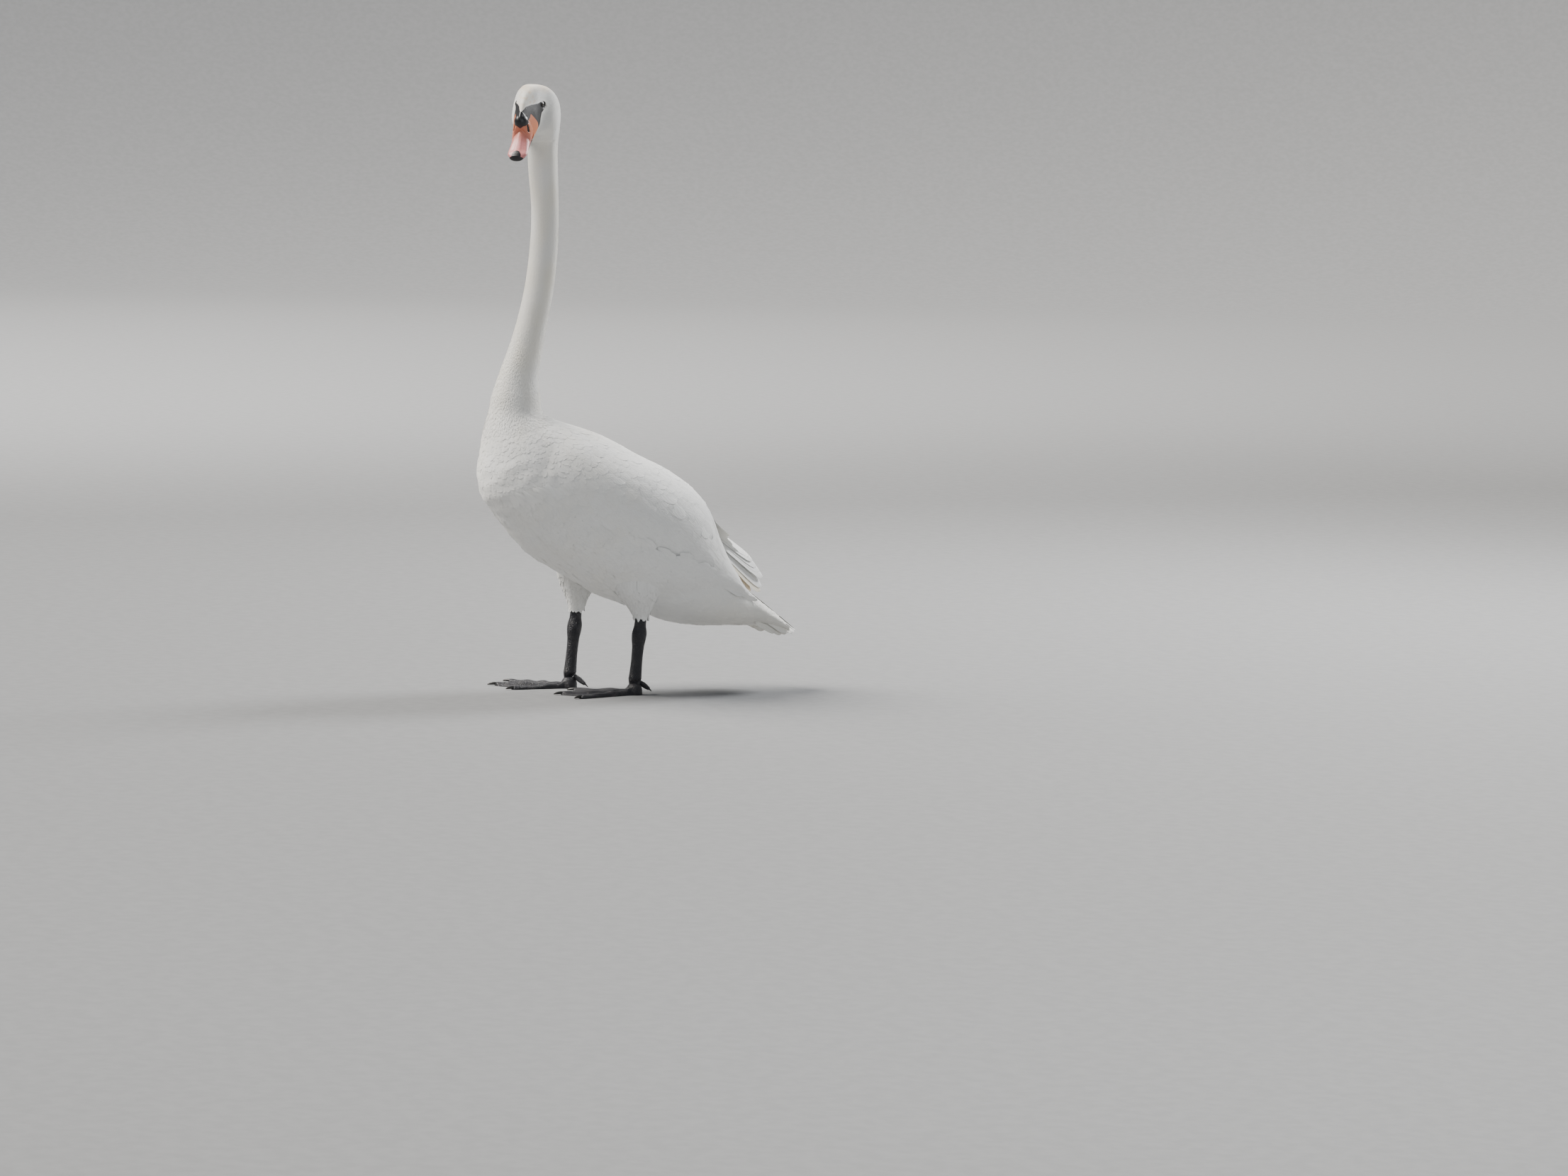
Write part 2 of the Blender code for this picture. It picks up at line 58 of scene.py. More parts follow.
# The outline, out to the feather tips, runs from the bill's base to the end of the tail.
# Head, from the eye: (back forward, up, front forward, up, half width, low bulge, to the left)
HEAD_RINGS = [
    (-0.0799, -0.0700, -0.0269, -0.0700, 0.0262, 0.00, 0.0114),
    (-0.0805, -0.0480, -0.0185, -0.0635, 0.0305, 0.00, 0.0095),
    (-0.0775, -0.0240, -0.0120, -0.0570, 0.0355, 0.00, 0.0072),
    (-0.0700, -0.0030, -0.0080, -0.0540, 0.0392, 0.00, 0.0058),
    (-0.0565, 0.0188, -0.0030, -0.0525, 0.0402, 0.00, 0.0040),
    (-0.0380, 0.0318, 0.0021, -0.0515, 0.0368, -0.02, 0.0020),
    (-0.0155, 0.0349, 0.0067, -0.0518, 0.0276, -0.07, 0.0005),
    (0.0053, 0.0327, 0.0113, -0.0529, 0.0226, -0.13, 0.0000),
    (0.0233, 0.0251, 0.0163, -0.0546, 0.0218, -0.30, 0.0000),
    (0.0374, 0.0148, 0.0221, -0.0571, 0.0214, -0.42, 0.0000),
    (0.0504, 0.0021, 0.0274, -0.0601, 0.0200, -0.52, 0.0000),
    (0.0617, -0.0119, 0.0321, -0.0630, 0.0186, -0.58, 0.0000),
]
HEAD_POWER = 2.45  # over 2, a section has square shoulders
FACE_POWER = 2.1
CROWN_SQUARING = 0.75  # more power for the crown's side of the head's rings
# Neck, from the head down: (centre y, z, half depth, half width)
NECK_RINGS = [
    (-0.1405, 0.9250, 0.0256, 0.0254),
    (-0.1350, 0.8525, 0.0245, 0.0243),
    (-0.1360, 0.7800, 0.0250, 0.0250),
    (-0.1437, 0.7075, 0.0262, 0.0260),
    (-0.1590, 0.6350, 0.0285, 0.0280),
    (-0.1768, 0.5625, 0.0358, 0.0335),
    (-0.1810, 0.5260, 0.0435, 0.0410),
]
# Trunk and tail: (front y, z, back y, z, half width, wing edge in degrees from the back)
BODY_RINGS = [
    (-0.2298, 0.4970, -0.1330, 0.4970, 0.0480, 60),
    (-0.2380, 0.4600, -0.1120, 0.4860, 0.0650, 56),
    (-0.2423, 0.4240, -0.0820, 0.4730, 0.0850, 60),
    (-0.2462, 0.3870, -0.0450, 0.4570, 0.1010, 84),
    (-0.2400, 0.3520, -0.0080, 0.4360, 0.1120, 98),
    (-0.2200, 0.3220, 0.0275, 0.4155, 0.1190, 101),
    (-0.1833, 0.2780, 0.0680, 0.3950, 0.1230, 101),
    (-0.1436, 0.2400, 0.1060, 0.3710, 0.1250, 98),
    (-0.0850, 0.2070, 0.1365, 0.3455, 0.1240, 95),
    (-0.0223, 0.1710, 0.1640, 0.3120, 0.1190, 86),
    (0.0390, 0.1500, 0.1880, 0.2730, 0.1090, 78),
    (0.0950, 0.1280, 0.2100, 0.2380, 0.0950, 62),
    (0.1500, 0.1170, 0.2330, 0.2090, 0.0780, 56),
    (0.2050, 0.1142, 0.2520, 0.1870, 0.0630, 56),
    (0.2500, 0.1145, 0.2680, 0.1735, 0.0520, 58),
    (0.2850, 0.1128, 0.2920, 0.1540, 0.0545, 58),
    (0.3180, 0.1060, 0.3220, 0.1315, 0.0520, 58),
    (0.3390, 0.1000, 0.3420, 0.1135, 0.0430, 58),
    (0.3470, 0.0975, 0.3490, 0.1050, 0.0280, 58),
]
TAIL_ROOT = 14
# Wings, from body ring 1 on: (upper edge in degrees from the back, lift off the trunk, thickness)
LEFT_WING = np.array([
    (0, 0.0000, 0.0005), (0, 0.0000, 0.0060), (0, 0.0000, 0.0140), (0, 0.0000, 0.0190),
    (0, 0.0000, 0.0215), (0, 0.0000, 0.0230), (0, 0.0000, 0.0240), (0, 0.0000, 0.0235),
    (0, 0.0000, 0.0210), (20, 0.0030, 0.0110), (30, 0.0040, 0.0070), (40, 0.0040, 0.0050),
    (49, 0.0040, 0.0035), (54, 0.0040, 0.0030),
])
RIGHT_WING = np.vstack([LEFT_WING[:8], [
    (0, 0.0040, 0.0200), (6, 0.0180, 0.0120), (11, 0.0340, 0.0100), (17, 0.0470, 0.0080),
    (22, 0.0640, 0.0060), (28, 0.0760, 0.0050), (30, 0.0840, 0.0040), (32, 0.0880, 0.0030),
]])
WING_TABLES = {1: LEFT_WING, -1: RIGHT_WING}
WING_GAP = 0.0006  # between wing and trunk
WING_LOWER_LIFT = 0.4  # the lower edge's share of the lift
HEAD_TURN = math.radians(57)
HEAD_NOD = math.radians(5)
EYE_AHEAD_OF_AXIS = 0.0462
trunk_low, trunk_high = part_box("trunk")
MIDDLE = np.array([(trunk_low.x + trunk_high.x) / 2, trunk_high.y - BODY_RINGS[TAIL_ROOT][2], 0])
NECK_AXIS = MIDDLE + (0, -0.1560, 1.0360)  # the upright axis that the head turns on, at eye level
AHEAD = np.array([math.sin(HEAD_TURN), -math.cos(HEAD_TURN), 0])
LEFT = np.array([math.cos(HEAD_TURN), math.sin(HEAD_TURN), 0])
UP = np.array([0, 0, 1.0])
EYES_MIDDLE = NECK_AXIS + AHEAD * EYE_AHEAD_OF_AXIS
FIRST_NECK = len(HEAD_RINGS)
FIRST_BODY = FIRST_NECK + len(NECK_RINGS)
LAST_PLACE = FIRST_BODY + len(BODY_RINGS) - 1


def read_between(rows, places):
    """A table of rows read at fractional row numbers, along Catmull-Rom curves."""
    rows = np.asarray(rows, float)
    padded = np.vstack([2 * rows[0] - rows[1], rows, 2 * rows[-1] - rows[-2]])
    places = np.asarray(places, float)
    start = np.clip(places.astype(int), 0, len(rows) - 2)
    t = (places - start)[..., None]
    a, b, c, d = (padded[start + k] for k in range(4))
    curve = 2 * b + (c - a) * t + (2 * a - 5 * b + 4 * c - d) * t**2
    return (curve + (3 * b - a - 3 * c + d) * t**3) / 2


def smooth_step(low, high, value):
    """0 below low, 1 above high, and 3t^2 - 2t^3 between."""
    t = np.clip((value - low) / (high - low), 0, 1)
    return t * t * (3 - 2 * t)


def hump(start, full, fading, end, value):
    """0 up to start, 1 from full to fading, and 0 past end."""
    return smooth_step(start, full, value) * smooth_step(end, fading, value)


def unit(vectors):
    return vectors / np.maximum(np.linalg.norm(vectors, axis=-1, keepdims=True), 1e-12)


def turned(x, y, angle):
    return x * math.cos(angle) - y * math.sin(angle), x * math.sin(angle) + y * math.cos(angle)


def all_round(count):
    """Angles evenly round a circle."""
    return np.arange(count) * 2 * math.pi / count


def signed(angle):
    """An angle brought between half a turn back and half a turn on."""
    return (angle + math.pi) % (2 * math.pi) - math.pi


def head_rows(rings):
    """Rings of the head or bill: centre, centre to back, centre to left, low bulge and power."""
    rings = np.asarray(rings, float)
    back = rings[:, 0, None] * AHEAD + rings[:, 1, None] * UP
    front = rings[:, 2, None] * AHEAD + rings[:, 3, None] * UP
    aside = rings[:, 6, None] if rings.shape[1] > 6 else np.zeros((len(rings), 1))
    centre = EYES_MIDDLE + (front + back) / 2 + aside * LEFT
    power = HEAD_POWER + (FACE_POWER - HEAD_POWER) * smooth_step(0.0, 0.04, rings[:, 0, None])
    left = rings[:, 4, None] * LEFT
    return np.hstack([centre, (back - front) / 2, left, rings[:, 5, None], power])


def neck_rows():
    """The neck's rings turn from the head's direction at the top to the trunk's at the bottom."""
    y, z, half_depth, half_width = np.array(NECK_RINGS).T
    turn = HEAD_TURN * smooth_step(0.54, 0.96, z)
    centre = MIDDLE + np.column_stack([0 * y, y, z])
    back = np.column_stack([-np.sin(turn), np.cos(turn), 0 * y]) * half_depth[:, None]
    left = np.column_stack([np.cos(turn), np.sin(turn), 0 * y]) * half_width[:, None]
    power = 2 + (HEAD_POWER - 2) * smooth_step(0.85, 0.96, z)
    return np.column_stack([centre, back, left, 0 * y, power])


def body_rows():
    front_y, front_z, back_y, back_z, half_width, _ = np.array(BODY_RINGS).T
    nought = 0 * front_y
    centre = MIDDLE + np.column_stack([nought, (front_y + back_y) / 2, (front_z + back_z) / 2])
    back = np.column_stack([nought, (back_y - front_y) / 2, (back_z - front_z) / 2])
    left = np.column_stack([half_width, nought, nought])
    return np.column_stack([centre, back, left, nought, nought + 2])


def ring_points(rows, angles):
    """Points on rings, and the way out of each in its ring's plane. Angle 0 is at the back and
    goes down the left side: centre + back cos(angle) + left sin(angle + bulge sin(angle)), with
    both sine and cosine raised to 2 / power.
    """
    along, across = np.cos(angles), np.sin(angles + rows[..., 9] * np.sin(angles))
    power = rows[..., 10]
    crown = smooth_step(FACE_POWER, HEAD_POWER, power) * smooth_step(0, 0.6, along)
    power = 2 / (power + CROWN_SQUARING * crown)
    along = (np.sign(along) * np.abs(along) ** power)[..., None]
    across = (np.sign(across) * np.abs(across) ** power)[..., None]
    back, left = rows[..., 3:6], rows[..., 6:9]
    points = rows[..., 0:3] + back * along + left * across
    out = back * along / (back**2).sum(-1, keepdims=True)
    out = out + left * across / (left**2).sum(-1, keepdims=True)
    return points, unit(out)


swan_rows = np.vstack([head_rows(HEAD_RINGS)[::-1], neck_rows(), body_rows()])


def outline(place, angle):
    """The bird's outer surface, without its wings, at ring numbers and angles of any shape."""
    return ring_points(read_between(swan_rows, place), angle)


# Distance along the bird, "way", is the mean arc length of 8 lines run from the bill to the tail.
fine_places = np.linspace(0, LAST_PLACE, 4001)
fine_lines = outline(fine_places[:, None], all_round(8))[0]
fine_steps = np.linalg.norm(np.diff(fine_lines, axis=0), axis=2).mean(axis=1)
fine_ways = np.concatenate([[0], np.cumsum(fine_steps)])


def way_at(place):
    return np.interp(place, fine_places, fine_ways)


def place_at(way):
    return np.interp(way, fine_ways, fine_places)


def wing_share(side, place, angle):
    """Where an angle lies across a folded wing: 0 at its upper edge, 1 at its lower edge."""
    body_place = np.clip(place - FIRST_BODY, 0, len(BODY_RINGS) - 1)
    rows = read_between(WING_TABLES[side], np.clip(body_place - 1, 0, len(WING_TABLES[side]) - 1))
    lower = read_between(BODY_RINGS, body_place)[..., 5]
    from_back = np.degrees(np.abs(signed(angle)))
    return (from_back - rows[..., 0]) / (lower - rows[..., 0]), rows


def wing_rise(side, place, angle):
    """How far a folded wing's outer side stands off the trunk: its lift, less towards the lower
    edge, and its body, full over the forearm and thin at the lower edge.
    """
    share, rows = wing_share(side, place, angle)
    share = np.clip(share, 0, 1)
    lift = np.maximum(rows[..., 1], 0) * (1 - (1 - WING_LOWER_LIFT) * share)
    body = rows[..., 2] * (1 - 0.16 * (1 - share) ** 6 - 0.80 * share**3)
    return WING_GAP + lift + body


def shoulder_rise(place, angle):
    """The fleshy wings' swelling on the trunk, which fades out behind and below them."""
    share, _ = wing_share(1, place, angle)
    body_place = place - FIRST_BODY
    fade = hump(1.0, 2.0, 8.4, 10.6, body_place)
    return wing_rise(1, place, angle) * fade * smooth_step(1.16, 0.97, share)


# Black bare skin runs from the eye to the bill's base, and the bill is orange inside its own field.
# The borders are drawn in profile: (forward, up) from the eye, with the head level.
BARE_FACE = [
    (-0.0078, -0.0014), (-0.0062, 0.0048), (-0.0006, 0.0068), (0.0070, 0.0054), (0.0160, 0.0038),
    (0.0350, 0.0032), (0.0500, 0.0006), (0.0652, -0.0085), (0.1200, -0.0100), (0.1200, -0.1100),
    (0.0390, -0.0640), (0.0330, -0.0565), (0.0255, -0.0500), (0.0205, -0.0462), (0.0168, -0.0420),
    (0.0130, -0.0340), (0.0108, -0.0220), (0.0070, -0.0130), (-0.0026, -0.0070),
]
ORANGE_FIELD = [
    (0.0440, -0.0120), (0.0490, -0.0180), (0.0540, -0.0220), (0.0620, -0.0240), (0.0800, -0.0240),
    (0.0980, -0.0550), (0.1040, -0.0760), (0.0900, -0.0880), (0.0830, -0.0850), (0.0560, -0.0675),
    (0.0400, -0.0580), (0.0262, -0.0476), (0.0212, -0.0402), (0.0262, -0.0300),
]
BILL_LINE = ((0.0450, -0.0350), (0.0950, -0.0850))  # from the bill's base to its tip


def in_head(points):
    """Places from the eyes' middle with the nod taken out: forward, to the left, up."""
    away = points - EYES_MIDDLE
    forward, up = turned(away @ AHEAD, away @ UP, HEAD_NOD)
    return forward, away @ LEFT, up


def inside_by(corners, x, y):
    """Distance to a closed polygon's edge, positive inside it."""
    start = np.array(corners)
    step = np.roll(start, -1, axis=0) - start
    gap_x, gap_y = x[..., None] - start[:, 0], y[..., None] - start[:, 1]
    share = np.clip((gap_x * step[:, 0] + gap_y * step[:, 1]) / (step**2).sum(1), 0, 1)
    away = np.hypot(gap_x - share * step[:, 0], gap_y - share * step[:, 1]).min(-1)
    above = gap_y >= 0
    next_above = np.roll(above, -1, axis=-1)
    right = gap_x * step[:, 1] - gap_y * step[:, 0] > 0
    crossed = ((above & ~next_above & right) | (~above & next_above & ~right)).sum(-1)
    return np.where(crossed % 2 == 1, away, -away)


def to_bill_tip(forward, up):
    """0 at the bill's base to 1 at its tip."""
    start, step = np.array(BILL_LINE[0]), np.subtract(BILL_LINE[1], BILL_LINE[0])
    share = ((forward - start[0]) * step[0] + (up - start[1]) * step[1]) / (step @ step)
    return np.clip(share, 0, 1)


def bare_by(points):
    """How far inside the bare face a point lies; well outside it away from the head."""
    forward, _, up = in_head(points)
    near = np.linalg.norm(points - EYES_MIDDLE, axis=-1) < 0.16
    return np.where(near, inside_by(BARE_FACE, forward, up), -0.05)


SKIN_COLUMNS = 184
RING_STEPS = (0.0011, 0.0065, 0.0075)  # between rings on the head, neck and trunk
SKIN_END = FIRST_BODY + 15.7  # the fleshy end of the tail
SKIN_TAPER = 1.6  # rings over which that end rounds off
# (place, depth of the feathers over the skin)
COAT_DEPTH = np.array([
    (0, 0.0007), (3, 0.0008), (7, 0.0009), (11, 0.0010), (14, 0.0011), (17, 0.0015), (19, 0.0022),
    (21, 0.0030), (24, 0.0034), (31, 0.0034), (33, 0.0030), (36, 0.0026),
])
EYE_RADIUS = 0.0075
EYE_INSET = 0.0007  # deeper in the face than the solid model's eyes
EYE_OPENING = (0.0052, 0.0042)  # half length and half height between the lids
EYE_TILT = math.radians(-14)
LID_THICKNESS = 0.0009
# (distance from an eye on the even grid, and drawn together)
EYE_CROWDING = [(0, 0), (0.0030, 0.0034), (0.0100, 0.0066), (0.0180, 0.0180)]
LEG_COLUMNS = 144
# (centre x outwards, y, z, half depth, half width), from the flank down
LEFT_THIGH = [
    (0.0700, 0.0340, 0.2300, 0.0560, 0.0400), (0.0710, 0.0330, 0.2050, 0.0530, 0.0390),
    (0.0690, 0.0330, 0.1800, 0.0420, 0.0320), (0.0640, 0.0370, 0.1580, 0.0260, 0.0215),
    (0.0600, 0.0405, 0.1390, 0.0155, 0.0135),
]
RIGHT_THIGH = [
    (0.0700, -0.0300, 0.2400, 0.0520, 0.0400), (0.0710, -0.0300, 0.2100, 0.0450, 0.0380),
    (0.0690, -0.0320, 0.1850, 0.0350, 0.0300), (0.0640, -0.0355, 0.1630, 0.0230, 0.0205),
    (0.0600, -0.0380, 0.1430, 0.0155, 0.0135),
]
THIGH_INSET = ([0, 0.6, 1], [0.009, 0.007, 0.0045])  # its skin's depth, from the top down
# (share of the shank from the thigh down, half depth, half width)
SHANK_RINGS = [
    (0.00, 0.0105, 0.0090), (0.14, 0.0108, 0.0090), (0.24, 0.0133, 0.0108), (0.33, 0.0130, 0.0104),
    (0.45, 0.0110, 0.0080), (0.65, 0.0104, 0.0074), (0.85, 0.0112, 0.0086), (1.00, 0.0125, 0.0105),
]
# side: (thigh, heel x outwards, heel y, toes turned out)
LEGS = {
    1: (LEFT_THIGH, 0.0570, 0.0325, math.radians(-6)),
    -1: (RIGHT_THIGH, 0.0550, -0.0500, math.radians(24)),
}
SIDE_NAMES = {1: "left", -1: "right"}
ANKLE_HEIGHT = 0.034
HEEL_TOP = 0.020
HEEL_RADIUS = 0.0140
TOE_TURNS = np.radians([-29, 0, 27])  # inner, middle and outer toe, outwards
TOE_LENGTHS = np.array([0.110, 0.133, 0.126])
TOE_JOINTS = (2, 3, 4)  # bones' joints that show on each toe
TOE_HALF_WIDTH = 0.0062
KNUCKLE_SWELL = 0.13
TOE_ROOT_HEIGHT, TOE_TIP_HEIGHT = 0.0105, 0.0060
HALLUX_ROOT = (-0.0040, 0.0143, 0.0190)  # outwards, back and up from the heel
HALLUX_WAY = (-0.35, 0.80, -0.55)
# (reach along the hind toe, radius)
HALLUX = [
    (-0.006, 0.0036), (0, 0.0043), (0.006, 0.0047), (0.012, 0.0041), (0.018, 0.0031),
    (0.0195, 0.0016),
]
FOOT_TOP = 0.0098  # radius of the shank where it meets the foot
WEB_THICKNESS = 0.0024
WEB_WRINKLES = 0.0003
WEB_SCALLOP = 0.17


def new_piece(name, points, faces, material):
    """A smooth mesh object from points and faces, its place in its mesh."""
    mesh = bpy.data.meshes.new(name)
    mesh.from_pydata(np.reshape(points, (-1, 3)).tolist(), [], [list(face) for face in faces])
    mesh.polygons.foreach_set("use_smooth", np.ones(len(mesh.polygons), bool))
    mesh.materials.append(material)
    mesh.update()
    piece = bpy.data.objects.new(name, mesh)
    bpy.context.scene.collection.objects.link(piece)
    return piece


def new_tube(name, grid, material, inward=False):
    """A closed piece from rings of points: quads between the rings, and a fan over each end. The
    two end centres are its last two points. inward is for rings whose order faces inwards.
    """
    rows, columns = grid.shape[:2]
    corner = np.arange((rows - 1) * columns).reshape(rows - 1, columns)
    beside = np.roll(corner, -1, axis=1)
    quads = np.stack([corner, beside, beside + columns, corner + columns], -1).reshape(-1, 4)
    rim = np.arange(columns)
    beside, centre = np.roll(rim, -1), np.full(columns, rows * columns)
    first = np.column_stack([beside, rim, centre])
    last = np.column_stack([rim, beside, centre * 0 + columns + 1]) + (rows - 1) * columns
    way = -1 if inward else 1
    faces = [face for part in (quads, first, last) for face in part[:, ::way].tolist()]
    points = np.vstack([grid.reshape(-1, 3), grid[0].mean(axis=0), grid[-1].mean(axis=0)])
    return new_piece(name, points, faces, material)


def on_tube(grid, values, *ends):
    """One number for each point of a tube: for its rings' points, then for its end centres."""
    return np.concatenate([np.broadcast_to(values, grid.shape[:2]).ravel(), ends])


def set_numbers(mesh, **numbers):
    """Keeps one number for each point on the mesh under each name, for its material to read."""
    for name, values in numbers.items():
        attribute = mesh.attributes.new(name, "FLOAT", "POINT")
        attribute.data.foreach_set("value", np.asarray(values, np.float32))


def points_of(mesh):
    flat = np.empty(len(mesh.vertices) * 3, np.float32)
    mesh.vertices.foreach_get("co", flat)
    return flat.reshape(-1, 3).astype(float)


def coat_depth(place):
    return np.interp(place, *COAT_DEPTH.T)


def surface_normals(grid):
    """Outward unit normals of a grid of rings: the cross product of its two tangents."""
    along = np.gradient(grid, axis=0)
    around = (np.roll(grid, -1, axis=1) - np.roll(grid, 1, axis=1)) / 2
    return unit(np.cross(around, along))


def eye_centre(side):
    low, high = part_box("eye_" + SIDE_NAMES[side])
    return np.array((low + high) / 2) - side * EYE_INSET * LEFT


def crowd_round_eyes(ways, angles):
    """Draws the grid's points together in a band round each eye's opening, where the lids need
    them: a point's distance from the eye is read along a broken line.
    """
    for side in (1, -1):
        grid = outline(place_at(ways), angles)[0]
        gap = np.linalg.norm(grid - (eye_centre(side) + side * EYE_RADIUS * LEFT), axis=2)
        row, column = np.unravel_index(gap.argmin(), gap.shape)
        eye_way, eye_angle = ways[row, column], angles[row, column]
        girth = np.linalg.norm(grid[row, column] - grid[row, column - 1])
        girth = girth / (2 * math.pi / SKIN_COLUMNS)
        away = ways - eye_way
        aside = signed(angles - eye_angle) * girth
        far = np.maximum(np.hypot(away, aside), 1e-6)
        closer = np.interp(far, *np.transpose(EYE_CROWDING)) / far
        near = far < EYE_CROWDING[-1][0]
        ways = np.where(near, eye_way + away * closer, ways)
        angles = np.where(near, eye_angle + aside * closer / girth, angles)
    return ways, angles


def set_eyes_in(grid):
    """Presses the skin behind each eyeball inside the opening and folds it into lids round it:
    their edge stands a lid's thickness over the ball, and a soft fold leads out to the face.
    """
    for side in (1, -1):
        away = grid - eye_centre(side)
        forward, up, out = away @ AHEAD, away @ UP, side * (away @ LEFT)
        along, over = turned(forward, up, EYE_TILT)
        ring = np.abs(along / EYE_OPENING[0]) ** 1.7 + np.abs(over / EYE_OPENING[1]) ** 1.9
        ring = ring ** (1 / 1.8)
        ball = np.sqrt(np.maximum(EYE_RADIUS**2 - forward**2 - up**2, (0.35 * EYE_RADIUS) ** 2))
        lid = ball + LID_THICKNESS * (1 - 0.5 * smooth_step(1.15, 1.55, ring))
        inner = ball - 0.0022
        share = smooth_step(0.97, 1.06, ring)
        pressed = inner * (1 - share) + lid * share
        keep = smooth_step(1.10, 1.52, ring)
        target = pressed * (1 - keep) + out * keep
        fold = -0.0004 * np.exp(-(((ring - 1.34) / 0.10) ** 2))
        near = (np.hypot(forward, up) < 0.016) & (out > 0)
        grid = grid + np.where(near, side * (target + fold - out), 0)[..., None] * LEFT
    return grid


def hide_grid():
    """Rings of skin from the bill's base to the tail: the outline less the coat's depth. The rings
    crowd together on the head, and the last ones shrink to a rounded end.
    """
    ends = way_at([0, FIRST_NECK - 1, FIRST_BODY, SKIN_END])
    stretches = [np.arange(*limits) for limits in zip(ends, ends[1:], RING_STEPS)]
    ways = np.concatenate([*stretches, ends[-1:]])
    ways, angles = np.meshgrid(ways, all_round(SKIN_COLUMNS), indexing="ij")
    ways, angles = crowd_round_eyes(ways, angles)
    places = place_at(ways)
    grid, out = outline(places, angles)
    grid = grid + out * shoulder_rise(places, angles)[..., None]
    normals = surface_normals(grid)
    depth = coat_depth(places) * smooth_step(0, 0.0035, -bare_by(grid))
    grid = set_eyes_in(grid - normals * depth[..., None])
    # A thin lip of skin grips the bill's base: it runs on over the horn and tucks in against it.
    onward = (AHEAD - UP) / math.sqrt(2)
    middle = grid[0].mean(axis=0)
    lips = [middle + (grid[0] - middle) * scale + onward * reach
            for reach, scale in ((0.0016, 0.955), (0.0018, 0.985), (0.0011, 0.998))]
    grid = np.concatenate([np.array(lips), grid])
    places = np.concatenate([places[[0, 0, 0]], places])
    left = np.clip((SKIN_END - places[:, 0]) / SKIN_TAPER, 0, 1)
    shrink = np.sqrt(np.maximum(1 - (1 - left) ** 2, 0.004))[:, None, None]
    middle = grid.mean(axis=1, keepdims=True)
    return middle + (grid - middle) * shrink


def foot_reach(turn):
    """How far the foot reaches from the heel, at angles outwards from the middle toe: to the web's
    scalloped edge between the toes, and to the toes' own sides or the heel's curve outside them.
    """
    length = np.interp(turn, TOE_TURNS, TOE_LENGTHS)
    gap = np.where(turn < 0, turn / TOE_TURNS[0], turn / TOE_TURNS[2])
    web = length * (1 - WEB_SCALLOP * np.sin(math.pi * np.clip(gap, 0, 1)) ** 2)
    past = np.maximum(turn - TOE_TURNS[2], TOE_TURNS[0] - turn)
    beside = TOE_HALF_WIDTH / np.sin(np.clip(past, 1e-4, math.pi / 2))
    outside = np.maximum(HEEL_RADIUS, np.minimum(length, beside))
    return np.where(past <= 0, web, outside)


def foot_height(reach, turn):
    """Height of the foot's top: a rounded ridge along each toe that swells at its joints, a thin
    web that sags between them and wrinkles, and a knuckle over the heel.
    """
    wrinkles = np.sin(reach * 900 + 3 * np.sin(turn * 30)) * np.sin(turn * 55)
    height = WEB_THICKNESS + WEB_WRINKLES * wrinkles
    for toe_turn, length, joints in zip(TOE_TURNS, TOE_LENGTHS, TOE_JOINTS):
        aside = reach * np.abs(np.sin(turn - toe_turn)) / TOE_HALF_WIDTH
        share = np.clip(reach / length, 0, 1)
        knuckles = np.cos(2 * math.pi * (joints * share**0.9 + 0.12)) * smooth_step(0.1, 0.4, share)
        crest = TOE_ROOT_HEIGHT + (TOE_TIP_HEIGHT - TOE_ROOT_HEIGHT) * share
        crest = crest * (1 + KNUCKLE_SWELL * knuckles)
        dome = np.maximum(np.sqrt(np.clip(1 - aside**2, 0, 1)), 0.21 * smooth_step(1.6, 0.6, aside))
        dome = dome * (np.cos(turn - toe_turn) > 0)
        height = np.maximum(height, WEB_THICKNESS + (crest - WEB_THICKNESS) * dome)
    knuckle = np.clip(1 - (reach / (1.25 * HEEL_RADIUS)) ** 4, 0, 1)
    return np.maximum(height, HEEL_TOP * knuckle)


def leg_line(side):
    """The shank's top and bottom centres, and the foot's turn."""
    thigh, heel_x, heel_y, toe_out = LEGS[side]
    top = MIDDLE + np.array(thigh[-1][:3]) * (side, 1, 1)
    return top, MIDDLE + (side * heel_x, heel_y, HEEL_TOP), side * toe_out


